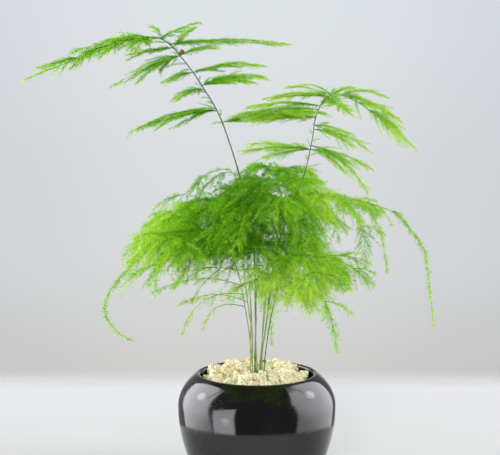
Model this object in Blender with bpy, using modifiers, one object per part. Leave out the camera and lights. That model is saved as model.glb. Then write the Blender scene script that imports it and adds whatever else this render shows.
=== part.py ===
"""Potted asparagus fern: a round glazed pot of soil and pale gravel, with twelve feathery fronds.

The origin is the middle of the pot's flat underside, +Z is up and the viewer stands at -Y.
Routes and spray tips are in millimetres, everything that is built is in metres.
"""

import math
import random

import bmesh
import bpy
import numpy as np
from mathutils import Vector
from mathutils.kdtree import KDTree

MM = 0.001
GAP = 0.3 * MM  # left between two pieces that touch
UP = np.array((0.0, 0.0, 1.0))

# The pot: an ellipse above its widest height, a deeper one below it
POT_RADIUS = 50 * MM
WIDEST_Z = 51 * MM
SHOULDER_DEPTH = 32 * MM
BELLY_DEPTH = 68 * MM
FOOT_RADIUS = 34 * MM
FOOT_ROUND = 1.4 * MM
LIP_STARTS_AT = 38.6 * MM  # radius where the shoulder turns over into the lip
LIP_ROUND = 2 * MM
WALL = 4.5 * MM
FLOOR = 6 * MM
NECK_DEPTH = 3 * MM  # how far the straight neck goes down from the lip
SOIL_BULGE = (1.5 * MM, 8 * MM)  # the inside's last bend: in from the wall, and above the widest height
POT_STEPS = 30

# What fills the pot
SOIL_TOP = 63 * MM
BED_THICK = 3 * MM  # the lower stones of the gravel
STONE_RADIUS = (3.9 * MM, 5.2 * MM)
STONE_PITCH = 9.6 * MM
STONE_RINGS = 3
STONE_SQUASH = 0.85
BED_HOLE = 10 * MM  # radius of the gap in the gravel where the stems come up
HEAP = 2.2 * MM  # how much higher the gravel lies in its middle
GRAVEL_GAPS = (1, 9)  # outer stones left out, where the pot's dark inside shows

# The crown that the stems grow from
CROWN_RADIUS = 8 * MM
CROWN_BOTTOM = 56 * MM
CROWN_TOP = 67.5 * MM
KNOBS = 7
KNOB_RADIUS = (2.4 * MM, 3.0 * MM)
STUBS = 4  # what is left of old stems
STUB_RADIUS = 0.8 * MM
STUB_OUT = 6.2 * MM
STEM_FOOT = 59 * MM  # the stems' lower ends, inside the crown

# The fronds
STEM_RADIUS = (0.65 * MM, 0.4 * MM)
RIB_RADIUS = (0.55 * MM, 0.48 * MM)
NEEDLE = 4.2 * MM
NEEDLE_BAND = 0.8 * MM  # length of twig that a whorl of needles grows from
RIB_CLEARANCE = 2.4 * MM  # between the middle lines of two fronds' ribs
TWIG_CLEARANCE = 1.5 * MM  # between a twig and another frond's middle lines
OWN_CLEARANCE = 1.0 * MM  # between a twig and its own frond's other lines
TWIG_PITCH = 15 * MM
TWIG_HALF = 0.3 * MM
TUFT_FROM = 7 * MM  # a shorter twig has no tuft of needles
TIP_WIDTH = 9 * MM  # half width of the foliage beyond a stem's last rib
STEM_BEND = 0.6 * MM  # how near the straight pieces of a stem follow its curve


def spray(at, tip, arch, width, reach=0.5):
    """A lateral: where it leaves the stem (0 to 1), its tip, how far its middle rises, and its half width."""
    return dict(at=at, tip=tip, arch=arch, width=width, reach=reach)


def fan(first, last, count, longest, width=14, droop=0.35):
    """Laterals on both sides of a stem between two places along it, the longest a quarter of the way up."""
    return dict(first=first, last=last, count=count, longest=longest, width=width, droop=droop)


FRONDS = {
    "tall_left": dict(
        route=[(-1.2, 1.2, 59), (-1.2, 1.2, 74), (-1, 2, 131), (-6, 4, 177), (-21, 6, 228),
               (-34, 6, 252), (-46, 5, 269), (-58, 2, 281), (-72, -1, 282), (-91, -4, 278),
               (-109, -8, 270), (-124, -11, 264), (-142, -14, 257)],
        sprays=[
            spray(0.53, (41, 4, 236), 5, 17), spray(0.53, (28, 34, 231), 4, 13),
            spray(0.555, (-77, -12, 225), 8, 14), spray(0.56, (-63, 24, 226), 7, 13),
            spray(0.60, (-51, -10, 245), 5, 9),
            spray(0.61, (4, -14, 258), 7, 15), spray(0.61, (0, 30, 257), 5, 13),
            spray(0.64, (3, -8, 265), 6, 12), spray(0.64, (-56, -12, 255), 3, 11),
            spray(0.68, (-88, -8, 253), 4, 13), spray(0.68, (-73, 20, 264), 3, 11),
            spray(0.68, (-25, 8, 277), 4, 7), spray(0.71, (20, -6, 278), 6, 8),
            spray(0.70, (-78, -14, 272), 1, 7), spray(0.73, (-38, 24, 292), 2, 12),
            spray(0.70, (-40, 0, 288), 3, 9), spray(0.72, (-66, 12, 289), 4, 8),
            spray(0.75, (-89, 26, 282), 3, 12), spray(0.75, (-77, -34, 275), 3, 12),
            spray(0.78, (-101, 28, 278), 3, 12), spray(0.79, (-94, -36, 270), 3, 12),
            spray(0.83, (-117, 20, 273), 3, 11), spray(0.84, (-112, -28, 264), 2, 10),
            spray(0.89, (-137, 8, 264), 1, 7),
        ],
    ),
    "tall_right": dict(
        route=[(2.0, 1.4, 59), (2.0, 1.4, 74), (6, 6, 102), (11, 9, 141), (20, 13, 172), (30, 17, 196),
               (35, 20, 217), (38, 22, 234), (46, 23, 246), (60, 22, 244), (79, 20, 231), (99, 18, 214)],
        sprays=[
            spray(0.61, (-7, -14, 213), 4, 14), spray(0.61, (-3, 44, 214), 3, 13),
            spray(0.61, (68, 2, 203), 5, 15), spray(0.62, (68, -14, 188), 12, 11),
            spray(0.66, (67, -8, 215), 5, 15), spray(0.67, (60, 46, 220), 4, 13),
            spray(0.69, (-4, -12, 231), 2, 11), spray(0.71, (-13, 2, 234), 5, 15),
            spray(0.72, (-6, 44, 238), 4, 13), spray(0.73, (58, -22, 235), 5, 13),
            spray(0.75, (3, -20, 245), 3, 11), spray(0.76, (22, 40, 251), 3, 12),
            spray(0.72, (58, 0, 252), 5, 9),
            spray(0.78, (83, 36, 245), 7, 8), spray(0.80, (76, -10, 239), 3, 13),
            spray(0.83, (91, 34, 231), 4, 11), spray(0.86, (88, -10, 224), 3, 11),
        ],
    ),
    "left_high": dict(
        route=[(-4.2, 0.6, 59), (-4.2, 0.6, 74), (-4, -1, 117), (-6, 0, 142), (-8, 2, 164),
               (-11, 5, 184), (-14, 8, 196), (-19, 11, 200), (-28, 14, 198), (-39, 18, 190),
               (-52, 23, 177), (-68, 28, 160), (-84, 32, 145)],
        fan=fan(0.52, 0.93, 6, 40, 13, 0.85),
        sprays=[],
    ),
    "left_low": dict(
        route=[(-4.0, -2.4, 59), (-4.0, -2.4, 74), (-3, -5, 94), (-6, -9, 120), (-9, -14, 144),
               (-13, -18, 164), (-19, -22, 175), (-30, -26, 177), (-43, -29, 172), (-59, -31, 160),
               (-77, -32, 144), (-89, -32, 130), (-93, -32, 120), (-91, -31, 111), (-85, -30, 103),
               (-77, -29, 98)],
        fan=fan(0.44, 0.71, 5, 38, 13, 0.5),
        sprays=[spray(0.28, (-63, -44, 130), 14, 9), spray(0.24, (-49, -40, 121), 12, 8)],
    ),
    "front_left": dict(
        route=[(-2.6, -4.9, 59), (-2.6, -4.9, 74), (-4, -6, 91), (-7, -14, 114), (-12, -28, 141),
               (-20, -46, 162), (-31, -62, 170), (-43, -76, 166), (-55, -86, 155), (-61, -92, 142)],
        fan=fan(0.46, 0.93, 5, 40, 14, 0.35),
        sprays=[spray(0.36, (-45, -46, 105), 18, 8, 0.8), spray(0.31, (-33, -34, 107), 14, 7, 0.8)],
    ),
    "back_left": dict(
        route=[(-2.8, 4.0, 59), (-2.8, 4.0, 74), (-3, 6, 98), (-5, 12, 129), (-9, 26, 156),
               (-17, 44, 172), (-32, 60, 176), (-50, 74, 168), (-66, 86, 153), (-79, 94, 137)],
        fan=fan(0.44, 0.92, 5, 42, 14, 0.5),
        sprays=[],
    ),
    "back_mid": dict(
        route=[(0.2, 4.4, 59), (0.2, 4.4, 74), (-1, 8, 104), (1, 18, 135), (3, 34, 162), (8, 52, 183),
               (12, 70, 193), (18, 90, 194), (25, 111, 182)],
        fan=fan(0.50, 0.94, 5, 44, 14, 0.25),
        sprays=[spray(0.34, (10, 44, 82), 20, 7, 0.9)],
    ),
    "front_mid": dict(
        route=[(0.0, -4.2, 59), (0.0, -4.2, 74), (-1, -8, 101), (-1, -18, 134), (3, -30, 166),
               (8, -44, 188), (9, -58, 197), (3, -74, 194), (-7, -88, 181), (-12, -98, 166)],
        fan=fan(0.48, 0.93, 5, 44, 15, 0.25),
        sprays=[],
    ),
    "right_long": dict(
        route=[(1.6, -1.6, 59), (1.6, -1.6, 74), (4, -2, 99), (6, -4, 125), (8, -6, 151), (14, -9, 170),
               (27, -12, 181), (48, -14, 185), (68, -15, 181), (85, -15, 175), (96, -15, 163),
               (103, -15, 152), (107, -14, 130), (110, -12, 104)],
        fan=fan(0.46, 0.70, 6, 36, 12, 0.6),
        sprays=[spray(0.62, (80, -22, 139), 16, 7, 0.8)],
    ),
    "right_low": dict(
        route=[(4.6, -0.8, 59), (4.6, -0.8, 74), (6, -2, 89), (9, -5, 109), (14, -10, 129),
               (20, -16, 145), (29, -22, 152), (41, -28, 151), (55, -32, 145), (70, -34, 134)],
        fan=fan(0.46, 0.90, 5, 38, 14, 0.4),
        sprays=[],
    ),
    "front_right": dict(
        route=[(2.9, -4.2, 59), (2.9, -4.2, 74), (4, -6, 91), (7, -16, 115), (12, -32, 139),
               (21, -52, 154), (28, -68, 152), (35, -78, 140), (42, -84, 122), (46, -86, 102)],
        fan=fan(0.44, 0.84, 5, 38, 14, 0.4),
        sprays=[],
    ),
    "back_right": dict(
        route=[(3.4, 4.2, 59), (3.4, 4.2, 74), (4, 8, 104), (8, 18, 135), (16, 34, 162), (29, 52, 175),
               (46, 68, 179), (62, 82, 171), (73, 92, 152), (76, 98, 128)],
        fan=fan(0.44, 0.88, 5, 42, 14, 0.4),
        sprays=[],
    ),
}


# Lines in space: how stems, ribs and twigs run
def unit(v):
    return v / np.linalg.norm(v)


def smooth_line(points, count):
    """A Catmull-Rom curve through the points, as evenly spaced points of its own."""
    p = np.array(points, float)
    p = np.vstack([2 * p[0] - p[1], p, 2 * p[-1] - p[-2]])
    fine = []
    for a, b, c, d in zip(p, p[1:], p[2:], p[3:]):
        for t in np.linspace(0, 1, 12, endpoint=False):
            fine.append(0.5 * (2 * b + (c - a) * t + (2 * a - 5 * b + 4 * c - d) * t**2
                               + (3 * b - a - 3 * c + d) * t**3))
    fine.append(p[-2])
    return even_line(np.array(fine), count)


def even_line(line, count):
    run = np.r_[0, np.cumsum(np.linalg.norm(np.diff(line, axis=0), axis=1))]
    want = np.linspace(0, run[-1], count)
    return np.stack([np.interp(want, run, line[:, k]) for k in range(3)], axis=1)


def length_of(line):
    return np.linalg.norm(np.diff(line, axis=0), axis=1).sum()


def simplified(line, off):
    """The line with only the points needed to stay within off of it."""
    chord = unit(line[-1] - line[0])
    away = line - line[0]
    off_chord = np.linalg.norm(away - np.outer(away @ chord, chord), axis=1)
    worst = int(off_chord.argmax())
    if off_chord[worst] < off:
        return line[[0, -1]]
    return np.vstack([simplified(line[:worst + 1], off)[:-1], simplified(line[worst:], off)])


def nearest_on(line, point):
    """The point of a line of straight pieces that lies nearest to a point."""
    best = None
    for a, b in zip(line, line[1:]):
        share = np.clip((point - a) @ (b - a) / ((b - a) @ (b - a)), 0, 1)
        found = a + share * (b - a)
        if best is None or np.linalg.norm(found - point) < np.linalg.norm(best - point):
            best = found
    return best


def point_at(line, share):
    x = min(max(share, 0), 1) * (len(line) - 1)
    i = min(int(x), len(line) - 2)
    return line[i] + (x - i) * (line[i + 1] - line[i])


def heading_at(line, share):
    return unit(point_at(line, share + 0.03) - point_at(line, share - 0.03))


def bent_line(start, tip, arch, reach=0.5, count=13):
    """A rib from start to tip that rises by about half of arch in its middle."""
    s = np.linspace(0, 1, count)[:, None]
    elbow = start + reach * (tip - start) * (1, 1, 0) + UP * ((tip - start)[2] * 0.5 + arch)
    return (1 - s) ** 2 * start + 2 * s * (1 - s) * elbow + s**2 * tip


def bell(s, first, last, peak=0.28):
    """1 at the peak, falling evenly to first and last at the two ends."""
    if s < peak:
        return first + (1 - first) * s / peak
    return 1 - (1 - last) * (s - peak) / (1 - peak)


# Where every rib of every frond lies, kept clear of the other fronds
def fan_ribs(stem, rule, rng):
    """(start, tip, arch, half width) of the ribs of a fan, on its two sides in turn."""
    outward = unit((stem[-1] - stem[0]) * (1, 1, 0))
    ribs = []
    for i in range(rule["count"]):
        k = i / (rule["count"] - 1)
        share = rule["first"] + (rule["last"] - rule["first"]) * k
        ahead = unit(heading_at(stem, share) * (1, 1, 0.3) + 0.4 * outward)
        across = unit(np.cross(UP, ahead)) * (1 if i % 2 else -1)
        angle = math.radians(75 - 35 * k + rng.uniform(-8, 8))
        length = rule["longest"] * MM * bell(k, 0.85, 0.4) * rng.uniform(0.9, 1.1)
        aim = unit(math.cos(angle) * ahead + math.sin(angle) * across + UP * rng.uniform(0.05, 0.2))
        start = point_at(stem, share)
        fall = length * rule["droop"] * rng.uniform(0.7, 1.3)
        ribs.append((start, start + length * aim - fall * UP, 0.5 * fall, rule["width"] * MM))
    return ribs


def clear_of(tree, line, distance):
    return all(tree.find(p)[2] is None or tree.find(p)[2] > distance for p in line)


def tree_of(lines):
    points = [p for line in lines for p in line]
    tree = KDTree(len(points))
    for i, p in enumerate(points):
        tree.insert(p, i)
    tree.balance()
    return tree


def place_rib(start, tip, arch, reach, tree, rng):
    """The rib, turned and lifted a little until it passes clear of the other fronds, or None."""
    for attempt in range(24):
        swing = 0.9 * attempt * MM
        moved = tip + swing * np.array([rng.uniform(-1, 1), rng.uniform(-1.6, 1.6), rng.uniform(-0.8, 0.8)])
        line = bent_line(start, moved, arch, reach)
        fine = even_line(line, 2 + int(length_of(line) / (0.8 * MM)))
        if clear_of(tree, fine[3:], RIB_CLEARANCE):
            return line
    return None


def grow_skeleton():
    """{frond: (stem, [(rib, half width), ...])}, the lines that all the foliage hangs on."""
    stems = {name: smooth_line(np.array(frond["route"]) * MM, 60) for name, frond in FRONDS.items()}
    fine_stems = {name: even_line(stem, 400) for name, stem in stems.items()}
    grown = {}
    placed = {}
    for number, (name, frond) in enumerate(FRONDS.items()):
        rng = random.Random(100 + number)
        stem = stems[name]
        others = [line for other, line in fine_stems.items() if other != name]
        tree = tree_of(others + [rib for ribs in placed.values() for rib in ribs])
        wanted = []
        for s in frond["sprays"]:
            tip = np.array(s["tip"]) * MM
            wanted.append((point_at(stem, s["at"]), tip, s["arch"] * MM, s["width"] * MM, s["reach"]))
        if "fan" in frond:
            wanted += [rib + (0.5,) for rib in fan_ribs(stem, frond["fan"], rng)]
        ribs = []
        for start, tip, arch, width, reach in wanted:
            line = place_rib(start, tip, arch, reach, tree, rng)
            if line is not None:
                ribs.append((line, width))
        grown[name] = (stem, ribs)
        placed[name] = [even_line(rib, 60) for rib, _ in ribs]
    return grown


def twig_plan(length, first, width, pitch, rng):
    """Where the twigs of a line of this length sit: (height, side, twig length), left and right in turn."""
    count = max(2, round((length - first) / pitch))
    plan = []
    for i in range(count):
        share = (i + rng.uniform(0.35, 0.65)) / count
        plan.append((first + 0.94 * share * (length - first), 1 if i % 2 else -1,
                     width * bell(share, 0.6, 0.35) * rng.uniform(0.8, 1.1)))
    return plan


# Solids
def material(name, colour, roughness):
    made = bpy.data.materials.new(name)
    made.use_nodes = True
    shader = made.node_tree.nodes["Principled BSDF"]
    shader.inputs["Base Color"].default_value = (*colour, 1)
    shader.inputs["Roughness"].default_value = roughness
    return made


def new_object(name, mesh, collection, finish=None):
    made = bpy.data.objects.new(name, mesh)
    collection.objects.link(made)
    if finish:
        mesh.materials.clear()
        mesh.materials.append(finish)
    return made


def evaluated_mesh(obj):
    bpy.context.view_layer.update()
    graph = bpy.context.evaluated_depsgraph_get()
    return bpy.data.meshes.new_from_object(obj.evaluated_get(graph))


def remove_object(obj):
    data = obj.data
    bpy.data.objects.remove(obj)
    if isinstance(data, bpy.types.Mesh) and not data.users:
        bpy.data.meshes.remove(data)


def keep_largest_body(mesh):
    """Drops loose scraps, and the skins of hollows that joining has sealed."""
    bm = bmesh.new()
    bm.from_mesh(mesh)
    left = set(bm.faces)
    bodies = []
    while left:
        queue = [left.pop()]
        body = list(queue)
        while queue:
            for edge in queue.pop().edges:
                for face in edge.link_faces:
                    if face in left:
                        left.remove(face)
                        queue.append(face)
                        body.append(face)
        bodies.append(body)
    bodies.sort(key=lambda body: sum(face.calc_area() for face in body))
    for body in bodies[:-1]:
        bmesh.ops.delete(bm, geom=body, context="FACES")
    bm.to_mesh(mesh)
    bm.free()


def new_collection(name):
    made = bpy.data.collections.new(name)
    bpy.context.scene.collection.children.link(made)
    return made


def joined(obj, others, operation="UNION"):
    """Applies one Boolean of obj with the objects of a collection, which it then removes."""
    cut = obj.modifiers.new("join", "BOOLEAN")
    cut.operation = operation
    cut.operand_type = "COLLECTION"
    cut.collection = others
    mesh = evaluated_mesh(obj)
    keep_largest_body(mesh)
    obj.modifiers.remove(cut)
    old = obj.data
    obj.data = mesh
    bpy.data.meshes.remove(old)
    for other in list(others.objects):
        remove_object(other)
    bpy.data.collections.remove(others)
    return obj


def turned(name, profile, steps, collection, finish):
    """A closed solid turned round Z from (radius, height) points that run down its outer side."""
    mesh = bpy.data.meshes.new(name)
    points = [(r, 0, z) for r, z in profile]
    mesh.from_pydata(points, [(i, i + 1) for i in range(len(points) - 1)], [])
    made = new_object(name, mesh, collection, finish)
    screw = made.modifiers.new("turn", "SCREW")
    screw.steps = steps
    screw.render_steps = steps
    screw.use_merge_vertices = True
    screw.merge_threshold = 0.1 * MM
    screw.use_smooth_shade = True
    return made


class Spray:
    """A tapered core along a line, cut into rings where twigs and needles are drawn out of its faces.

    It is shaped standing along Z, and then every point is laid on the line.
    """

    def __init__(self, line, radii, sides, bends=False):
        self.line = line
        self.run = np.r_[0, np.cumsum(np.linalg.norm(np.diff(line, axis=0), axis=1))]
        self.length = self.run[-1]
        runs_to = np.diff(line, axis=0) / np.diff(self.run)[:, None]
        self.along = np.vstack([runs_to[:1], runs_to[:-1] + runs_to[1:], runs_to[-1:]])
        self.side_on = unit(np.cross(UP, line[-1] - line[0]) + 1e-6)
        self.bm = bmesh.new()
        bmesh.ops.create_cone(self.bm, cap_ends=True, segments=sides, radius1=radii[0], radius2=radii[1],
                              depth=self.length)
        bmesh.ops.translate(self.bm, verts=self.bm.verts, vec=(0, 0, self.length / 2))
        if bends:
            for height in self.run[1:-1]:
                self.ring(height)

    def laid(self, co):
        """Where a point of the upright core comes to lie."""
        at = min(max(co.z, 0), self.length)
        ahead = unit(np.array([np.interp(at, self.run, self.along[:, k]) for k in range(3)]))
        middle = np.array([np.interp(at, self.run, self.line[:, k]) for k in range(3)])
        middle += (co.z - at) * ahead
        side = unit(self.side_on - (self.side_on @ ahead) * ahead)
        return middle + co.x * side + co.y * np.cross(ahead, side)

    def laid_line(self, start, end, step=0.8 * MM):
        count = 2 + int((end - start).length / step)
        return np.array([self.laid(start.lerp(end, k / (count - 1))) for k in range(count)])

    def ring(self, height):
        bmesh.ops.bisect_plane(self.bm, geom=self.bm.verts[:] + self.bm.edges[:] + self.bm.faces[:],
                               plane_co=(0, 0, height), plane_no=(0, 0, 1))

    def band(self, height):
        """The side faces between two new rings, a needle's root apart."""
        for end in (-0.5, 0.5):
            self.ring(height + end * NEEDLE_BAND)
        return [f for f in self.bm.faces
                if abs(f.calc_center_median().z - height) < 0.1 * NEEDLE_BAND and abs(f.normal.z) < 0.5]

    def point(self, face, tip):
        apex = bmesh.ops.poke(self.bm, faces=[face])["verts"][0]
        apex.co = tip

    def needle(self, face, ahead, clear):
        """Draws a face out to a needle that leans forward, if that is clear. Returns the line it takes."""
        root = face.calc_center_median()
        tip = root + NEEDLE * (0.82 * face.normal + 0.5 * ahead)
        line = self.laid_line(root + 0.3 * MM * face.normal, tip)
        if not clear(line):
            return []
        self.point(face, tip)
        return [line]

    def twig(self, face, side, length, tuft, clear, rng):
        """Draws a face out to a twig, either a plain one or one that ends in a tuft of needles."""
        angle = math.radians(rng.uniform(38, 52))
        aim = Vector((side * math.sin(angle), rng.uniform(-0.12, 0.1), math.cos(angle))).normalized()
        root = face.calc_center_median()
        for shorter in (1, 0.7, 0.45):
            end = root + aim * length * shorter
            line = self.laid_line(root, end)
            if clear(line[1:]):
                break
        else:
            return self.needle(face, Vector((0, 0, 1)), clear)
        if not tuft:
            self.point(face, end)
            return [line]
        rise = aim.cross(Vector((0, 1, 0))).normalized()
        rise *= math.copysign(1, rise.z)
        across = Vector((0, 1, 0))
        tangent = face.normal.cross(Vector((0, 0, 1))).normalized()
        tangent *= math.copysign(1, tangent @ across)
        tip_face = face
        for centre in (end - aim * NEEDLE_BAND, end):
            tip_face = bmesh.ops.extrude_discrete_faces(self.bm, faces=[tip_face])["faces"][0]
            middle = tip_face.calc_center_median()
            ahead = Vector((0, 0, 1)) if middle == root else rise
            turn = tangent if middle == root else across
            for v in tip_face.verts:
                off = v.co - middle
                corner = math.copysign(1, off @ ahead) * rise + math.copysign(1, off @ turn) * across
                v.co = centre + TWIG_HALF * corner
        taken = [line]
        self.bm.normal_update()
        around = {f for e in tip_face.edges for f in e.link_faces} - {tip_face}
        for f in sorted(around, key=lambda f: tuple(f.calc_center_median())):
            taken += self.needle(f, aim, clear)
        self.point(tip_face, end + 0.5 * NEEDLE * aim)
        return taken

    def grow(self, plan, clear, rng):
        """Twigs and needles at every place of the plan. Returns the lines that they take up."""
        taken = []
        for number, (height, side, length) in enumerate(plan):
            faces = sorted(self.band(height), key=lambda f: -side * f.normal.x)
            tuft = number % 2 == 0 and length > TUFT_FROM
            taken += self.twig(faces[0], side, length, tuft, clear, rng)
            for face in faces[1:]:
                taken += self.needle(face, Vector((0, 0, 1)), clear)
        caps = [f for f in self.bm.faces if f.calc_center_median().z > self.length - MM / 2]
        end = max(caps, key=lambda f: f.normal.z)
        self.point(end, Vector((0, 0, self.length + 0.5 * NEEDLE)))
        return taken

    def mesh(self):
        for v in self.bm.verts:
            v.co = self.laid(v.co)
        made = bpy.data.meshes.new("spray")
        self.bm.to_mesh(made)
        self.bm.free()
        return made


def pot_half_width(z):
    depth = SHOULDER_DEPTH if z > WIDEST_Z else BELLY_DEPTH
    return POT_RADIUS * math.sqrt(1 - ((z - WIDEST_Z) / depth) ** 2)


def arc(centre, radius, start, end, count):
    """Points of an arc in the plane of a profile, its angles in degrees from outward."""
    return [(centre[0] + radius * math.cos(math.radians(a)), centre[1] + radius * math.sin(math.radians(a)))
            for a in np.linspace(start, end, count)]


def pot_profile():
    """The pot's whole section, the part of it that the soil lies against, and the opening's radius."""
    turn = math.acos(LIP_STARTS_AT / POT_RADIUS)
    lip_z = WIDEST_Z + SHOULDER_DEPTH * math.sin(turn)
    lean = math.degrees(math.atan(POT_RADIUS / SHOULDER_DEPTH * math.tan(turn)))
    centre = (LIP_STARTS_AT - LIP_ROUND * math.cos(math.radians(lean)),
              lip_z - LIP_ROUND * math.sin(math.radians(lean)))
    opening = centre[0] - LIP_ROUND
    shoulder = [(POT_RADIUS * math.cos(t), WIDEST_Z + SHOULDER_DEPTH * math.sin(t))
                for t in np.linspace(turn, 0, 5)[1:]]
    foot_t = math.acos(FOOT_RADIUS / POT_RADIUS)
    belly = [(POT_RADIUS * math.cos(t), WIDEST_Z - BELLY_DEPTH * math.sin(t))
             for t in np.linspace(0, foot_t, 6)[1:]]
    neck_end = centre[1] - NECK_DEPTH
    inner = [(pot_half_width(z) - WALL, z) for z in np.linspace(FLOOR, WIDEST_Z, 4)]
    inner += [(POT_RADIUS - WALL - SOIL_BULGE[0], WIDEST_Z + SOIL_BULGE[1]), (opening, neck_end)]
    inside = [(0, FLOOR)] + inner
    lip = arc(centre, LIP_ROUND, 180, lean, 4)
    foot = [(FOOT_RADIUS - FOOT_ROUND, 0), (0, 0)]
    return inside + lip + shoulder + belly + foot, inside, opening


def build_pot(collection):
    profile, inside, opening = pot_profile()
    turned("pot", profile, POT_STEPS, collection, material("black_glaze", (0.008, 0.007, 0.008), 0.12))
    return inside, opening


def crown_place(frond):
    x, y, _ = frond["route"][0]
    return x * MM, y * MM


def cylinder(name, radius, low, high, place, sides, collection):
    bm = bmesh.new()
    bmesh.ops.create_cone(bm, cap_ends=True, segments=sides, radius1=radius, radius2=radius,
                          depth=high - low)
    bmesh.ops.translate(bm, verts=bm.verts, vec=(*place, (low + high) / 2))
    mesh = bpy.data.meshes.new(name)
    bm.to_mesh(mesh)
    bm.free()
    return new_object(name, mesh, collection)


def lump(name, radius, centre, low, rng, collection, squash=1.0):
    """A stone or knob: an icosphere with each point pushed in or out, and cut off flat at low."""
    bm = bmesh.new()
    bmesh.ops.create_icosphere(bm, subdivisions=1, radius=radius)
    spin = rng.uniform(0, math.tau)
    for v in bm.verts:
        v.co *= rng.uniform(0.86, 1.14)
        v.co = Vector((v.co.x * math.cos(spin) - v.co.y * math.sin(spin),
                       v.co.x * math.sin(spin) + v.co.y * math.cos(spin), v.co.z * squash)) + Vector(centre)
        v.co.z = max(v.co.z, low)
    mesh = bpy.data.meshes.new(name)
    bm.to_mesh(mesh)
    bm.free()
    return new_object(name, mesh, collection)


def build_soil(inside, collection):
    """Soil that fills the pot's inside up to SOIL_TOP, with a pocket for the crown."""
    wall_r, wall_z = [r for r, _ in inside[1:]], [z for _, z in inside[1:]]
    heights = [SOIL_TOP] + [z for z in wall_z[:0:-1] if z < SOIL_TOP] + [FLOOR + GAP]
    side = [(np.interp(z, wall_z, wall_r) - GAP, z) for z in heights]
    profile = [(0, SOIL_TOP)] + side + [(0, FLOOR + GAP)]
    dark = material("dark_soil", (0.05, 0.032, 0.02), 0.95)
    soil = turned("potting_soil", profile, POT_STEPS, collection, dark)
    cutters = new_collection("soil_cutters")
    cylinder("crown_pocket", CROWN_RADIUS + 2 * GAP, CROWN_BOTTOM - GAP, SOIL_TOP + MM, (0, 0), 20, cutters)
    soil.data = evaluated_mesh(soil)
    soil.modifiers.clear()
    joined(soil, cutters, "DIFFERENCE")


def build_crown(collection):
    """The woody crown: knobs and the stubs of old stems, with a plain hole for each stem."""
    rng = random.Random(7)
    shoulder = CROWN_TOP - 2.5 * MM
    crown = cylinder("root_crown", CROWN_RADIUS - MM, CROWN_BOTTOM, shoulder, (0, 0), 12, collection)
    knobs = new_collection("knobs")
    for i in range(KNOBS):
        angle = math.tau * i / KNOBS + rng.uniform(-0.2, 0.2)
        out = rng.uniform(0.4, 0.55) * CROWN_RADIUS
        place = (out * math.cos(angle), out * math.sin(angle), CROWN_TOP - rng.uniform(3.4, 4.6) * MM)
        lump("knob", rng.uniform(*KNOB_RADIUS), place, CROWN_BOTTOM, rng, knobs)
    for i in range(STUBS):
        angle = math.tau * (i + 0.5) / STUBS
        place = (STUB_OUT * math.cos(angle), STUB_OUT * math.sin(angle))
        top = CROWN_TOP + rng.uniform(1, 3.5) * MM
        cylinder("stub", STUB_RADIUS, CROWN_TOP - 6 * MM, top, place, 6, knobs)
    joined(crown, knobs)
    holes = new_collection("stem_holes")
    hole_radius = STEM_RADIUS[0] + 1.5 * GAP
    for frond in FRONDS.values():
        cylinder("hole", hole_radius, STEM_FOOT - GAP, CROWN_TOP + 6 * MM, crown_place(frond), 6, holes)
    joined(crown, holes, "DIFFERENCE")
    crown.data.materials.clear()
    crown.data.materials.append(material("brown_crown", (0.12, 0.07, 0.035), 0.85))


def build_gravel(opening, collection):
    """A bed of pale stones: a ring of lower ones, and a layer of single stones sunk into it."""
    rng = random.Random(21)
    low = SOIL_TOP + GAP
    high = low + BED_THICK
    edge = opening - GAP
    ring = [(BED_HOLE, low), (BED_HOLE, high), (edge, high), (edge, low), (BED_HOLE, low)]
    gravel = turned("gravel", ring, POT_STEPS, collection, material("cream_stone", (0.72, 0.64, 0.38), 0.9))
    gravel.data = evaluated_mesh(gravel)
    gravel.modifiers.clear()
    stones = new_collection("stones")
    first_ring = BED_HOLE + 3.2 * MM
    last_ring = edge - 4.4 * MM
    for k in range(STONE_RINGS):
        out = first_ring + (last_ring - first_ring) * k / (STONE_RINGS - 1)
        count = int(math.tau * out / STONE_PITCH)
        for i in range(count):
            if k == STONE_RINGS - 1 and i in GRAVEL_GAPS:
                continue
            angle = math.tau * (i + 0.5 * (k % 2) + rng.uniform(-0.15, 0.15)) / count
            radius = rng.uniform(*STONE_RADIUS)
            r = min(out + rng.uniform(-0.8, 0.8) * MM, edge - radius * 1.15)
            height = high + HEAP * (1 - (out / edge) ** 2) + rng.uniform(-0.2, 0.3) * radius
            place = (r * math.cos(angle), r * math.sin(angle), height)
            lump("stone", radius, place, low + BED_THICK / 3, rng, stones, squash=STONE_SQUASH)
    joined(gravel, stones)


def tip_starts(stem_line, rib_lines):
    """How far along the stem its last rib leaves it."""
    points = even_line(stem_line, 200)
    last = max(int(np.linalg.norm(points - line[0], axis=1).argmin()) for line in rib_lines)
    return length_of(stem_line) * last / 199


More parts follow.
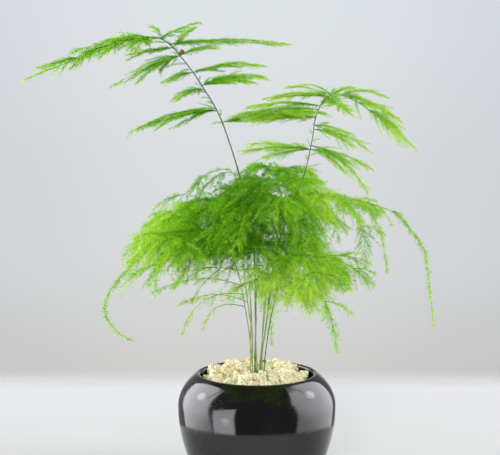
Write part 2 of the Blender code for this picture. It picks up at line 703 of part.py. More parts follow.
def build_frond(name, stem, ribs, tree, number, collection, finish):
    """One frond as one solid: stem, ribs and twigs with needles. Returns the lines that it takes up."""
    rng = random.Random(500 + number)
    stem_line = simplified(stem, STEM_BEND)
    rib_lines = [rib.copy() for rib, _ in ribs]
    for line in rib_lines:
        line[0] = nearest_on(stem_line, line[0])
    pieces = new_collection(name + "_pieces")
    done = []

    def clear_for(own):
        """A test that a line is clear of every other frond, and of this one's other ribs and twigs."""
        near = tree_of([even_line(line, 40) for line in rib_lines + [stem_line] if line is not own] + done)
        return lambda line: clear_of(tree, line, TWIG_CLEARANCE) and clear_of(near, line[1:], OWN_CLEARANCE)

    core = Spray(stem_line, STEM_RADIUS, 4, bends=True)
    done += core.grow(twig_plan(core.length, tip_starts(stem_line, rib_lines), TIP_WIDTH, TWIG_PITCH, rng),
                      clear_for(stem_line), rng)
    frond = new_object(name, core.mesh(), collection)
    for line, (_, width) in zip(rib_lines, ribs):
        rib = Spray(line, RIB_RADIUS, 3)
        done += rib.grow(twig_plan(rib.length, 4 * MM, width, TWIG_PITCH, rng), clear_for(line), rng)
        new_object("rib", rib.mesh(), pieces)
    joined(frond, pieces)
    frond.data.materials.clear()
    frond.data.materials.append(finish)
    return [even_line(line, 40) for line in rib_lines] + [even_line(stem_line, 200)] + done


def main():
    for obj in list(bpy.data.objects):
        bpy.data.objects.remove(obj)
    part = new_collection("potted_asparagus_fern")
    inside, opening = build_pot(part)
    build_soil(inside, part)
    build_crown(part)
    build_gravel(opening, part)
    leaf = material("fern_green", (0.13, 0.32, 0.03), 0.6)
    grown = grow_skeleton()
    stems = {name: even_line(stem, 400) for name, (stem, _) in grown.items()}
    rib_lines = {name: [even_line(rib, 60) for rib, _ in ribs] for name, (_, ribs) in grown.items()}
    built = []
    for number, (name, (stem, ribs)) in enumerate(grown.items()):
        others = [line for other, line in stems.items() if other != name]
        others += [line for other, lines in rib_lines.items() if other != name for line in lines]
        built += build_frond(name, stem, ribs, tree_of(others + built), number, part, leaf)
        print(name, len(ribs), "ribs", len(part.objects[name].data.loop_triangles), "triangles")


main()
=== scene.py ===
# %% [markdown]
# # A potted asparagus fern
#
# This lesson dresses a simple solid model of a small house plant. The plant is an asparagus fern: twelve
# wiry stems come up from one woody crown, each stem carries side ribs, each rib carries twigs, and the
# twigs are covered in needles that are thinner than a millimetre. It stands in a round black pot, with
# pale porous stones over the soil.
#
# The solid model already says where every stem and rib runs. Here the same lines are grown again and get
# thousands of needles, and the pot, the stones and the crown get finer shapes and real finishes.

# %% Load the model and note its size
import math
import random

import bmesh
import bpy
import numpy as np
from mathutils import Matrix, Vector, noise
from mathutils.kdtree import KDTree


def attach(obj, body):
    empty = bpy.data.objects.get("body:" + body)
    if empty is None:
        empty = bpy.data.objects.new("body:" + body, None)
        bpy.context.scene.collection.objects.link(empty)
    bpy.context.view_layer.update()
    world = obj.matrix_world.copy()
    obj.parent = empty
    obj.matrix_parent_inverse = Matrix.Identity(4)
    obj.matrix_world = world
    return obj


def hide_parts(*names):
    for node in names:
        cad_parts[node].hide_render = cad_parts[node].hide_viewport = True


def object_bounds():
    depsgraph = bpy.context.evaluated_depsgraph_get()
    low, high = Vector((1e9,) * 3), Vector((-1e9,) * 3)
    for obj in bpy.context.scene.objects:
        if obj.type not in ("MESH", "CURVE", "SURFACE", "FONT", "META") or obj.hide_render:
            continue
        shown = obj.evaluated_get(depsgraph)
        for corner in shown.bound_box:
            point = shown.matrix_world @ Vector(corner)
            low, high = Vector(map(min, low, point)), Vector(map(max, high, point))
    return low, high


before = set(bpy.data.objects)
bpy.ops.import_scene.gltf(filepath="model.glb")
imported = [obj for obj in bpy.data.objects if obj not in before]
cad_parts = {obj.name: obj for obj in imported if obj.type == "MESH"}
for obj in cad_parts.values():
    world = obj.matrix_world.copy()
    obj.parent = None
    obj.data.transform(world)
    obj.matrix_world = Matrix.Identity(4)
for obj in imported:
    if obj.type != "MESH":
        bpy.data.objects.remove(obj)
cad_box = [list(corner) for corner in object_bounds()]
MM = 0.001
UP = np.array((0.0, 0.0, 1.0))
print("nodes:", ", ".join(sorted(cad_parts)))
print("box in mm:", [[round(1000 * x, 1) for x in corner] for corner in cad_box])

# %% [markdown]
# ## The camera
#
# A long lens about 95 cm away looks down at the pot's opening by a few degrees. A long lens keeps the
# pot's rim a calm, narrow ellipse, as in the picture of the plant.

# %% Place the camera
LENS = 107.388
SENSOR = 36
CAMERA_AT = (-0.00433, -0.92819, 0.27438)
LOOKS_DOWN = 6.766

camera_data = bpy.data.cameras.new("camera")
camera_data.lens = LENS
camera_data.sensor_width = SENSOR
camera_data.clip_start = 0.05
camera = bpy.data.objects.new("camera", camera_data)
bpy.context.scene.collection.objects.link(camera)
camera.location = CAMERA_AT
camera.rotation_euler = (math.radians(90 - LOOKS_DOWN), 0, 0)
bpy.context.scene.camera = camera
print("camera", [round(x, 3) for x in camera.location])

# %% [markdown]
# ## Light and surroundings
#
# The plant stands in a light tent: a large glowing wall on each side with a lamp behind it, a window at
# the front left, and a dark room in front. A black glaze shows this best, because it mirrors both walls
# as pale curved panels. The tent is painted into the world by direction, not built, so that nothing casts
# noise or stray shadows. The camera itself sees only a pale backdrop, whichever side it looks from.


# %% Helpers that add shader nodes and feed their inputs
def feed(tree, socket, value):
    """Links a socket to another node's output, or sets it to a number or a colour."""
    if isinstance(value, bpy.types.NodeSocket):
        tree.links.new(value, socket)
    else:
        socket.default_value = (*value, 1) if socket.type == "RGBA" else value


def feed_all(tree, node, **values):
    """Feeds the inputs of a node that are given by name, and returns the node."""
    for name, value in values.items():
        feed(tree, node.inputs[name.replace("_", " ")], value)
    return node


def add_node(tree, kind, **values):
    """A new node, with the values of its inputs given by name."""
    return feed_all(tree, tree.nodes.new(kind), **values)


def maths(tree, operation, *values):
    """The result of a Math node."""
    node = tree.nodes.new("ShaderNodeMath")
    node.operation = operation
    for socket, value in zip(node.inputs, values):
        feed(tree, socket, value)
    return node.outputs[0]


def ramp(tree, value, low, high):
    """0 below low, 1 above high, eased in between."""
    node = add_node(tree, "ShaderNodeMapRange", Value=value, From_Min=low, From_Max=high)
    node.interpolation_type = "SMOOTHSTEP"
    return node.outputs["Result"]


MIX_INPUTS = (0, 6, 7)  # a Mix node's factor and its two colours, among its inputs for all kinds of value
MIX_RESULT = 2


def blend_colours(tree, factor, first, second, mode="MIX"):
    """A colour mix. Each argument may be a value or another node's output."""
    node = tree.nodes.new("ShaderNodeMix")
    node.data_type = "RGBA"
    node.blend_type = mode
    for number, value in zip(MIX_INPUTS, (factor, first, second)):
        feed(tree, node.inputs[number], value)
    return node.outputs[MIX_RESULT]


# %% The directions that the world's colour is painted by
world = bpy.data.worlds.new("light_tent")
bpy.context.scene.world = world
world.use_nodes = True
sky = world.node_tree
sky.nodes.clear()
look = sky.nodes.new("ShaderNodeTexCoord").outputs["Generated"]
x_way, y_way, z_way = add_node(sky, "ShaderNodeSeparateXYZ", Vector=look).outputs
SOFT_EDGE = 0.07
GRAZING = 0.02


def pane(facing, ahead, edges):
    """1 inside a flat pane that faces the plant. An edge (a, b, c) keeps what has a*ahead + b*up + c > 0."""
    inside = maths(sky, "GREATER_THAN", facing, GRAZING)
    near = maths(sky, "MAXIMUM", facing, GRAZING)
    along, up = maths(sky, "DIVIDE", ahead, near), maths(sky, "DIVIDE", z_way, near)
    for a, b, c in edges:
        line = maths(sky, "MULTIPLY_ADD", along, a, maths(sky, "MULTIPLY_ADD", up, b, c))
        inside = maths(sky, "MULTIPLY", inside, ramp(sky, line, -SOFT_EDGE, SOFT_EDGE))
    return inside


def direction(azimuth, elevation):
    """A unit vector from the plant. Azimuth 0 is to the camera and 90 to the right, in degrees."""
    azimuth, elevation = math.radians(azimuth), math.radians(elevation)
    level = math.cos(elevation)
    return Vector((math.sin(azimuth) * level, -math.cos(azimuth) * level, math.sin(elevation)))


def glow(azimuth, elevation, wide, narrow):
    """1 within an angle of a lamp's direction, fading to 0 at a wider one. All angles are in degrees."""
    dot = sky.nodes.new("ShaderNodeVectorMath")
    dot.operation = "DOT_PRODUCT"
    sky.links.new(look, dot.inputs[0])
    dot.inputs[1].default_value = direction(azimuth, elevation)
    return ramp(sky, dot.outputs["Value"], math.cos(math.radians(wide)), math.cos(math.radians(narrow)))


# %% The tent: two walls with their lamps, and a window
ROOM = 0.12  # the dark room's light
GAP = 0.28  # the light between the walls, behind the plant
BACK_GLOW = 0.4
COOL = 1.04  # how much stronger the tent's blue is
LOW_EDGE = (0, 1, 0.6)
leftward = maths(sky, "MULTIPLY", x_way, -1.0)
frontward = maths(sky, "MULTIPLY", y_way, -1.0)
wall_left = pane(leftward, y_way, [(1, -0.22, 0.3), (-0.85, -1, 1.75), (-1, 0.35, 1.05), LOW_EDGE])
wall_right = pane(x_way, y_way, [(1, 0, 0.56), (1, -0.64, 1.12), (-1.2, -1, 2.3), (-1, 0, 1.4), LOW_EDGE])
window = pane(frontward, x_way, [(1, 0, 2.3), (-1, 0, -0.64), (0, -1, 0.65)])


def lit(mask, base, lamp, strength, spot):
    """The light of a pane: an even base, a broad glow round its lamp and a small hot spot."""
    azimuth, elevation = lamp
    broad = maths(sky, "MULTIPLY_ADD", glow(azimuth, elevation, 62, 14), strength, base)
    full = maths(sky, "MULTIPLY_ADD", glow(azimuth, elevation, 9, 2), spot, broad)
    return maths(sky, "MULTIPLY", mask, full)


light = maths(sky, "MULTIPLY_ADD", ramp(sky, y_way, 0.3, 0.6), GAP - ROOM, ROOM)
light = maths(sky, "MULTIPLY_ADD", ramp(sky, y_way, 0.93, 0.98), BACK_GLOW, light)
for glowing in (lit(wall_left, 1.9, (-106, 29), 3.0, 4.5), lit(wall_right, 1.7, (107, 33), 1.9, 4.5),
                lit(window, 2.2, (-46, -9), 1.6, 2.0)):
    light = maths(sky, "MAXIMUM", light, glowing)
cooler = maths(sky, "MULTIPLY", light, COOL)
tent = add_node(sky, "ShaderNodeCombineColor", Red=light, Green=light, Blue=cooler)
print("tent painted with", len(sky.nodes), "nodes")

# %% [markdown]
# The plant also needs light from the front, or its near side stays dull. A studio would hang a large soft
# lamp over the camera. Here it is a pair of very soft suns that the glaze doesn't mirror, so the pot keeps
# its dark front.


# %% The front lamps
def soft_sun(name, power, azimuth, elevation, spread):
    """A sun that shines from a direction, blurred over an angle, and has no mirror image."""
    data = bpy.data.lights.new(name, "SUN")
    data.energy = power
    data.angle = math.radians(spread)
    lamp = bpy.data.objects.new(name, data)
    lamp.rotation_euler = direction(azimuth, elevation).to_track_quat("Z", "Y").to_euler()
    lamp.visible_glossy = False
    bpy.context.scene.collection.objects.link(lamp)
    return lamp


lamps = [soft_sun("front_lamp", 1.7, -12, 14, 16), soft_sun("top_lamp", 0.5, 30, 75, 50)]
print("lamps:", [lamp.name for lamp in lamps])

# %% The backdrop that the camera sees
BACKDROP_LOW = (0.625, 0.625, 0.61)
BACKDROP_MID = (0.70, 0.715, 0.73)
BACKDROP_HIGH = (0.735, 0.77, 0.80)
BACKDROP_SIDES = (0.90, 0.90, 0.91)

backdrop = blend_colours(sky, ramp(sky, z_way, -0.225, -0.12), BACKDROP_LOW, BACKDROP_MID)
backdrop = blend_colours(sky, ramp(sky, z_way, -0.12, 0.03), backdrop, BACKDROP_HIGH)
aside = maths(sky, "ABSOLUTE", maths(sky, "ADD", x_way, 0.01))
sides = blend_colours(sky, 1.0, backdrop, BACKDROP_SIDES, "MULTIPLY")
backdrop = blend_colours(sky, ramp(sky, aside, 0.03, 0.2), backdrop, sides)
seen = sky.nodes.new("ShaderNodeLightPath").outputs["Is Camera Ray"]
shown = blend_colours(sky, seen, tent.outputs["Color"], backdrop)
sky_light = add_node(sky, "ShaderNodeBackground", Color=shown, Strength=1.0)
add_node(sky, "ShaderNodeOutputWorld", Surface=sky_light.outputs[0])
print("world painted with", len(sky.nodes), "nodes")

# %% [markdown]
# ## The floor
#
# A plain pale table top. It fades out at its edges, so that it ends softly, as a table does that is out
# of focus. In the glaze's mirror it ends close round the pot: black cloths do the same in a studio.

# %% Build the floor
FLOOR_BACK = 0.345
FLOOR_FRONT = -0.8
FLOOR_SIDE = 0.8

corners = [(x, y, 0) for x, y in ((-FLOOR_SIDE, FLOOR_FRONT), (FLOOR_SIDE, FLOOR_FRONT),
                                  (FLOOR_SIDE, FLOOR_BACK), (-FLOOR_SIDE, FLOOR_BACK))]
floor_mesh = bpy.data.meshes.new("floor")
floor_mesh.from_pydata(corners, [], [(0, 1, 2, 3)])
floor = bpy.data.objects.new("floor", floor_mesh)
bpy.context.scene.collection.objects.link(floor)
print("floor's back edge", FLOOR_BACK)


# %% The floor's finish
def new_material(name):
    """A material with its node tree and its Principled shader."""
    made = bpy.data.materials.new(name)
    made.use_nodes = True
    return made, made.node_tree, made.node_tree.nodes["Principled BSDF"]


FADE = 0.085  # how wide the back edge's fade is
WIDE_FADE = 4 * FADE
MIRRORED_TO = 0.15
MIRROR_EDGE = 0.01

floor_paint, tree, shader = new_material("pale_table")
feed_all(tree, shader, Base_Color=(0.565, 0.569, 0.565), Roughness=0.9, Specular_IOR_Level=0.0)
place = tree.nodes.new("ShaderNodeTexCoord").outputs["Object"]
x, y, _ = add_node(tree, "ShaderNodeSeparateXYZ", Vector=place).outputs
solid = 1.0
for depth, fade in ((maths(tree, "SUBTRACT", FLOOR_BACK, y), FADE),
                    (maths(tree, "SUBTRACT", y, FLOOR_FRONT), WIDE_FADE),
                    (maths(tree, "SUBTRACT", FLOOR_SIDE, maths(tree, "ABSOLUTE", x)), WIDE_FADE)):
    solid = maths(tree, "MULTIPLY", solid, ramp(tree, depth, 0.0, fade))
reach = add_node(tree, "ShaderNodeVectorMath", Vector=place)
reach.operation = "LENGTH"
far = ramp(tree, reach.outputs["Value"], MIRRORED_TO - MIRROR_EDGE, MIRRORED_TO + MIRROR_EDGE)
cloths = maths(tree, "MULTIPLY", far, tree.nodes.new("ShaderNodeLightPath").outputs["Is Glossy Ray"])
feed_all(tree, shader, Alpha=maths(tree, "MULTIPLY", solid, maths(tree, "SUBTRACT", 1.0, cloths)))
floor_mesh.materials.append(floor_paint)
print("floor painted with", len(tree.nodes), "nodes")

# %% [markdown]
# ## Shared surface effects
#
# Two effects are needed in more than one material, so each is a node group with named inputs. *Mottle*
# drifts softly between two colours, as stone, soil and bark do. *Grain relief* gives a small height
# that a Bump node turns into bumps and pits.


# %% A helper that makes a node group, and one for noise
def new_group(name, inputs, outputs):
    """A node group with its named inputs and outputs, which come as (label, socket kind, value)."""
    group = bpy.data.node_groups.new(name, "ShaderNodeTree")
    for label, kind, value in inputs:
        socket = group.interface.new_socket(name=label, in_out="INPUT", socket_type=kind)
        socket.default_value = value
    for label, kind in outputs:
        group.interface.new_socket(name=label, in_out="OUTPUT", socket_type=kind)
    return group, group.nodes.new("NodeGroupInput").outputs, group.nodes.new("NodeGroupOutput").inputs


def object_noise(tree, scale, detail=4.0):
    """Smooth noise that is fixed to the piece."""
    place = tree.nodes.new("ShaderNodeTexCoord").outputs["Object"]
    return add_node(tree, "ShaderNodeTexNoise", Vector=place, Scale=scale, Detail=detail, Roughness=0.55)


# %% Mottle
mottle, given, wanted = new_group(
    "Mottle",
    [("Colour A", "NodeSocketColor", (0.5, 0.5, 0.5, 1)),
     ("Colour B", "NodeSocketColor", (0.2, 0.2, 0.2, 1)),
     ("Scale", "NodeSocketFloat", 200.0), ("Sharpness", "NodeSocketFloat", 0.2)],
    [("Colour", "NodeSocketColor"), ("Mask", "NodeSocketFloat")],
)
cloud = object_noise(mottle, given["Scale"])
mask = ramp(mottle, cloud.outputs["Fac"], maths(mottle, "ADD", given["Sharpness"], 0.3), 0.68)
feed(mottle, wanted["Mask"], mask)
feed(mottle, wanted["Colour"], blend_colours(mottle, mask, given["Colour A"], given["Colour B"]))
print(mottle.name, "has", len(mottle.nodes), "nodes")

# %% Grain relief
grain, given, wanted = new_group(
    "Grain relief",
    [("Grain", "NodeSocketFloat", 900.0), ("Pores", "NodeSocketFloat", 500.0),
     ("Pore Depth", "NodeSocketFloat", 0.5)],
    [("Height", "NodeSocketFloat"), ("Pits", "NodeSocketFloat")],
)
fine = object_noise(grain, given["Grain"], 3.0)
place = grain.nodes.new("ShaderNodeTexCoord").outputs["Object"]
cells = add_node(grain, "ShaderNodeTexVoronoi", Vector=place, Scale=given["Pores"])
pits = ramp(grain, cells.outputs["Distance"], 0.08, 0.45)
feed(grain, wanted["Pits"], pits)
sunk = maths(grain, "MULTIPLY", pits, given["Pore Depth"])
feed(grain, wanted["Height"], maths(grain, "ADD", fine.outputs["Fac"], sunk))
print(grain.name, "has", len(grain.nodes), "nodes")


# %% Helpers for the materials
def use_group(tree, group, **values):
    """A shared effect placed in a material, with its own values."""
    node = tree.nodes.new("ShaderNodeGroup")
    node.node_tree = group
    return feed_all(tree, node, **values)


def bumped(tree, shader, height, strength, distance):
    """Turns a height into bumps on the shader's surface."""
    bump = add_node(tree, "ShaderNodeBump", Height=height, Strength=strength, Distance=distance)
    feed_all(tree, shader, Normal=bump.outputs[0])


def mottled_finish(name, darker, paler, scale, roughness, relief, bump, shine=0.5):
    """Drifting colours and fine bumps. Relief is (grain, pores, their depth) and bump (strength, size)."""
    made, tree, shader = new_material(name)
    skin = use_group(tree, mottle, Colour_A=darker, Colour_B=paler, Scale=scale)
    feed_all(tree, shader, Base_Color=skin.outputs["Colour"], Roughness=roughness, Specular_IOR_Level=shine)
    fineness, pores, depth = relief
    grit = use_group(tree, grain, Grain=fineness, Pores=pores, Pore_Depth=depth)
    bumped(tree, shader, grit.outputs["Height"], *bump)
    print("finish:", name)
    return made


# %% [markdown]
# ## The pot
#
# The real pot is thrown and glazed black: a wide round body, a shoulder that turns in, and a rolled lip
# round a short straight neck. It is turned here from one half outline, as a potter's wheel would, with
# far more steps than the solid model has, so that the panels mirrored in the glaze run smoothly.

# %% The pot's outline
POT_RADIUS = 50 * MM
WIDEST_Z = 51 * MM
SHOULDER_DEPTH = 32 * MM
BELLY_DEPTH = 68 * MM
FOOT_RADIUS = 34 * MM
FOOT_ROUND = 1.4 * MM
LIP_STARTS_AT = 38.6 * MM
LIP_ROUND = 2 * MM
WALL = 4.5 * MM
FLOOR_THICK = 6 * MM
NECK_DEPTH = 3 * MM
POT_STEPS = 128
INSIDE_STEPS = LIP_STEPS = 12
OUTSIDE_STEPS = 18
INSIDE_SHOULDER = (POT_RADIUS - WALL - 1.5 * MM, WIDEST_Z + 8 * MM)

lip_turn = math.acos(LIP_STARTS_AT / POT_RADIUS)
lip_z = WIDEST_Z + SHOULDER_DEPTH * math.sin(lip_turn)
lip_lean = math.atan(POT_RADIUS / SHOULDER_DEPTH * math.tan(lip_turn))
lip_centre = (LIP_STARTS_AT - LIP_ROUND * math.cos(lip_lean), lip_z - LIP_ROUND * math.sin(lip_lean))
OPENING = lip_centre[0] - LIP_ROUND


def pot_half_width(z):
    """The outside radius of the pot at a height."""
    depth = SHOULDER_DEPTH if z > WIDEST_Z else BELLY_DEPTH
    return POT_RADIUS * math.sqrt(1 - ((z - WIDEST_Z) / depth) ** 2)


foot_turn = math.acos((FOOT_RADIUS + FOOT_ROUND) / POT_RADIUS)
foot_z = WIDEST_Z - BELLY_DEPTH * math.sin(foot_turn)
outline = [(0, FLOOR_THICK)]
outline += [(pot_half_width(z) - WALL, z) for z in np.linspace(FLOOR_THICK, WIDEST_Z, INSIDE_STEPS)]
outline += [INSIDE_SHOULDER, (OPENING, lip_centre[1] - NECK_DEPTH)]
outline += [(lip_centre[0] + LIP_ROUND * math.cos(a), lip_centre[1] + LIP_ROUND * math.sin(a))
            for a in np.linspace(math.pi, lip_lean, LIP_STEPS)]
for depth, turns in ((SHOULDER_DEPTH, np.linspace(lip_turn, 0, OUTSIDE_STEPS)),
                     (-BELLY_DEPTH, np.linspace(0, foot_turn, OUTSIDE_STEPS))):
    outline += [(POT_RADIUS * math.cos(t), WIDEST_Z + depth * math.sin(t)) for t in turns[1:]]
outline += [(FOOT_RADIUS, 0.4 * foot_z), (FOOT_RADIUS - FOOT_ROUND, 0), (0, 0)]
print("opening", round(2000 * OPENING, 1), "mm, lip at", round(1000 * (lip_centre[1] + LIP_ROUND), 1), "mm")

# %% [markdown]
# The glaze is nearly black and very smooth. What makes it look real is small: the mirror is a little
# wavy, the gloss is duller where dust and finger marks lie, and the lip shows a hint of brown where the
# glaze has run thin.

# %% The glaze's colour
GLAZE = (0.003, 0.003, 0.0035)
WARM_GLAZE = (0.006, 0.005, 0.0045)
THIN_GLAZE = (0.022, 0.018, 0.013)
DUST = (0.05, 0.05, 0.046)

glaze, tree, shader = new_material("black_glaze")
body = use_group(tree, mottle, Colour_A=GLAZE, Colour_B=WARM_GLAZE, Scale=60.0)
place = tree.nodes.new("ShaderNodeTexCoord").outputs["Object"]
height = add_node(tree, "ShaderNodeSeparateXYZ", Vector=place).outputs["Z"]
thin_from, thin_to = lip_centre[1] + 0.6 * LIP_ROUND, lip_centre[1] + LIP_ROUND
thin = ramp(tree, height, thin_from, thin_to)
black = blend_colours(tree, thin, body.outputs["Colour"], THIN_GLAZE)
smears = object_noise(tree, 45.0, 5.0).outputs["Fac"]
specks = use_group(tree, grain, Grain=900.0, Pores=1100.0, Pore_Depth=0.0)
grains = maths(tree, "SUBTRACT", 1.0, specks.outputs["Pits"])
dust = maths(tree, "MULTIPLY", grains, ramp(tree, smears, 0.40, 0.62))
dusted = blend_colours(tree, maths(tree, "MULTIPLY", dust, 0.12), black, DUST)
feed_all(tree, shader, Base_Color=dusted, IOR=1.62)
print("the glaze thins from", round(1000 * thin_from, 1), "to", round(1000 * thin_to, 1), "mm up")

# %% The glaze's gloss and its waves
dull = add_node(tree, "ShaderNodeMapRange",
                Value=smears, From_Min=0.45, From_Max=0.75, To_Min=0.05, To_Max=0.16)
feed_all(tree, shader, Roughness=maths(tree, "MULTIPLY_ADD", dust, 0.3, dull.outputs["Result"]))
waves = object_noise(tree, 22.0, 1.0)
bumped(tree, shader, waves.outputs["Fac"], 0.25, 0.0012)
print("glaze made with", len(tree.nodes), "nodes")

# %% Turn the pot
pot_mesh = bpy.data.meshes.new("glazed_pot")
pot_mesh.from_pydata([(r, 0, z) for r, z in outline], [(i, i + 1) for i in range(len(outline) - 1)], [])
pot_mesh.materials.append(glaze)
pot = bpy.data.objects.new("glazed_pot", pot_mesh)
bpy.context.scene.collection.objects.link(pot)
wheel = pot.modifiers.new("wheel", "SCREW")
wheel.steps = wheel.render_steps = POT_STEPS
wheel.use_merge_vertices = True
wheel.merge_threshold = 0.01 * MM
wheel.use_smooth_shade = True
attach(pot, "root")
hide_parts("pot")
print("pot:", len(outline), "points in its outline")

# %% [markdown]
# ## Soil
#
# The soil is hidden, except for what shows between the stones at the wall. The solid model's shape is
# right, so it stays and only gets a finish: dark, damp crumbs with paler fibres.

# %% The soil's finish
soil_finish = mottled_finish("damp_soil", (0.035, 0.022, 0.013), (0.11, 0.075, 0.045), scale=700.0,
                             roughness=0.95, relief=(1400.0, 600.0, 0.8), bump=(1.0, 0.0008))
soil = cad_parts["potting_soil"]
soil.data.materials.clear()
soil.data.materials.append(soil_finish)
print("soil:", len(soil.data.polygons), "faces, as in the solid model")

# %% [markdown]
# ## The stones
#
# The stones are a light, porous kind with a cream colour that leans to yellow and here and there to
# ochre. Each starts as a ball whose points are pushed out and in by smooth noise: coarse noise for the
# lumps, fine noise for the pits. They are laid by a rule: a random place is kept when no other stone of
# its layer is too near. Two places by the wall stay empty, where the pot's dark inside shows.

# %% Where the stones lie
BED_TOP = 66.3 * MM
STONE_EDGE = OPENING - 0.4 * MM
# Two empty places: the direction of each, how far out it is, and how far off the stones keep.
STONE_GAPS = ((math.radians(22), 31.5 * MM, 8 * MM), (math.radians(165), 33 * MM, 5 * MM))
CROWN_HOLE = 6.5 * MM
HEAP = 0.8 * MM
BACK_HEAP = 2.2 * MM
BACK_HEAP_FROM = -8 * MM
BACK_HEAP_RUN = 26 * MM
CROWN_DIP = 1.2 * MM
DIP_Y = -2 * MM
DIP_RADIUS = 11 * MM
HEAP_TOP = 74.4 * MM
TRIES = 60  # places tried for each stone


def heap_height(x, y):
    """How far the heap rises over the bed: most at the back, and least round the crown."""
    out = math.hypot(x, y) / STONE_EDGE
    back = min(max((y - BACK_HEAP_FROM) / BACK_HEAP_RUN, 0), 1)
    dip = max(1 - math.hypot(x, y - DIP_Y) / DIP_RADIUS, 0)
    return HEAP * (1 - out**2) + BACK_HEAP * back - CROWN_DIP * dip


def in_gap(x, y):
    """True at the two places by the wall that stay empty."""
    return any(math.hypot(x - r * math.cos(a), y - r * math.sin(a)) < clear for a, r, clear in STONE_GAPS)


def stone_places(count, radii, base, spacing, rng):
    """(x, y, z, radius) of one layer of stones."""
    kept = []
    for _ in range(count * TRIES):
        radius = rng.uniform(*radii)
        angle, out = rng.uniform(0, math.tau), (STONE_EDGE - 0.9 * radius) * math.sqrt(rng.random())
        x, y = out * math.cos(angle), out * math.sin(angle)
        if out < CROWN_HOLE or in_gap(x, y):
            continue
        if any(math.hypot(x - other[0], y - other[1]) < spacing * (radius + other[3]) for other in kept):
            continue
        z = base + heap_height(x, y) + rng.uniform(-0.25, 0.25) * radius
        kept.append((x, y, min(z, HEAP_TOP - 0.8 * radius), radius))
        if len(kept) == count:
            break
    return kept


rng = random.Random(31)
lower = stone_places(60, (3.4 * MM, 4.4 * MM), BED_TOP - 0.4 * MM, 0.62, rng)
upper = stone_places(46, (3.4 * MM, 6.6 * MM), BED_TOP + 1.7 * MM, 0.7, rng)
print("stones:", len(lower), "below and", len(upper), "above")

# %% Shape each stone
STONE_LOW = 63.2 * MM
STRETCH = ((0.8, 1.15), (0.8, 1.15), (0.7, 0.95))  # the least and most along x, y and z
LUMPS, KNOBS, PITS, CRUMBS = (1.4, 0.42), (3.6, 0.30), (8.0, 0.26), (17.0, 0.10)  # fineness and height


def stone_points(ball, place, rng):
    """The points of one stone, from the points of a ball of radius 1."""
    x, y, z, radius = place
    shift = Vector([rng.uniform(-50, 50) for _ in range(3)])
    stretch = Vector([rng.uniform(*limits) for limits in STRETCH])
    turn = Vector([rng.uniform(-1, 1) for _ in range(3)]).normalized().to_track_quat("Z", "Y")

    def relief(p, fineness, height):
        return height * noise.noise(p * fineness + shift)

    points = []
    for p in ball:
        size = 1 + relief(p, *LUMPS) + relief(p, *KNOBS) - abs(relief(p, *PITS)) + relief(p, *CRUMBS)
        q = turn @ (p * stretch * size * radius)
        points.append((x + q.x, y + q.y, max(z + q.z, STONE_LOW)))
    return points


def ball_of(subdivisions):
    """The points and triangles of a ball of radius 1."""
    bm = bmesh.new()
    bmesh.ops.create_icosphere(bm, subdivisions=subdivisions, radius=1)
    points = [v.co.copy() for v in bm.verts]
    faces = np.array([[v.index for v in f.verts] for f in bm.faces])
    bm.free()
    return points, faces


stone_verts, stone_faces = [], []
for layer, subdivisions in ((lower, 3), (upper, 4)):
    ball, ball_faces = ball_of(subdivisions)
    for where in layer:
        stone_faces.append(ball_faces + len(stone_verts))
        stone_verts += stone_points(ball, where, rng)
    print(len(layer), "stones of", len(ball_faces), "faces")

# %% [markdown]
# The stones' colour is cream with patches of yellow ochre and a few blushes of peach, and the pits are
# painted dark as painted shade. A very rough surface keeps it chalky.

# %% The stones' finish
CREAM = (0.95, 0.86, 0.50)
OCHRE = (0.84, 0.65, 0.26)
PALE_CREAM = (0.95, 0.93, 0.74)
PEACH = (0.94, 0.62, 0.30)
# the dark colour of the painted shade in the pits
PIT_SHADE = (0.20, 0.13, 0.04)

stone_finish, tree, shader = new_material("cream_stone")
cream = use_group(tree, mottle, Colour_A=CREAM, Colour_B=OCHRE, Scale=150.0)
blush = use_group(tree, mottle, Colour_A=PALE_CREAM, Colour_B=PEACH, Scale=60.0, Sharpness=0.22)
shade = blend_colours(tree, 0.42, cream.outputs["Colour"], blush.outputs["Colour"])
relief = use_group(tree, grain, Grain=1500.0, Pores=900.0, Pore_Depth=0.9)
# Painted shade: the colour darkens in the pits.
pit_shade = maths(tree, "MULTIPLY_ADD", relief.outputs["Pits"], -0.7, 0.7)
shade = blend_colours(tree, pit_shade, shade, PIT_SHADE)
feed_all(tree, shader, Base_Color=shade, Roughness=0.95, Specular_IOR_Level=0.2)
bumped(tree, shader, relief.outputs["Height"], 0.9, 0.0008)
print("stones painted with", len(tree.nodes), "nodes")


# %% A helper that makes a mesh from arrays
def mesh_from(name, points, faces, finish, shades=None, smooth=True):
    """A piece made of triangles. Shades gives each point a place on the colour chart of the foliage."""
    points = np.asarray(points, np.float32)
    faces = np.asarray(faces, np.int32)
    mesh = bpy.data.meshes.new(name)
    mesh.vertices.add(len(points))
    mesh.vertices.foreach_set("co", points.ravel())
    mesh.loops.add(faces.size)
    mesh.loops.foreach_set("vertex_index", faces.ravel())
    mesh.polygons.add(len(faces))
    mesh.polygons.foreach_set("loop_start", np.arange(0, faces.size, 3, dtype=np.int32))
    mesh.update(calc_edges=True)
    if smooth:
        mesh.shade_smooth()
    if shades is not None:
        for layer_name in ("tint", "OFBake"):
            layer = mesh.uv_layers.new(name=layer_name)
            layer.uv.foreach_set("vector", np.asarray(shades, np.float32)[faces.ravel()].ravel())
    mesh.materials.append(finish)
    made = bpy.data.objects.new(name, mesh)
    bpy.context.scene.collection.objects.link(made)
    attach(made, "root")
    return made


# %% Lay the stones
stones = mesh_from("stones", stone_verts, np.vstack(stone_faces), stone_finish)
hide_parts("gravel")
print("stones:", len(stones.data.polygons), "faces")
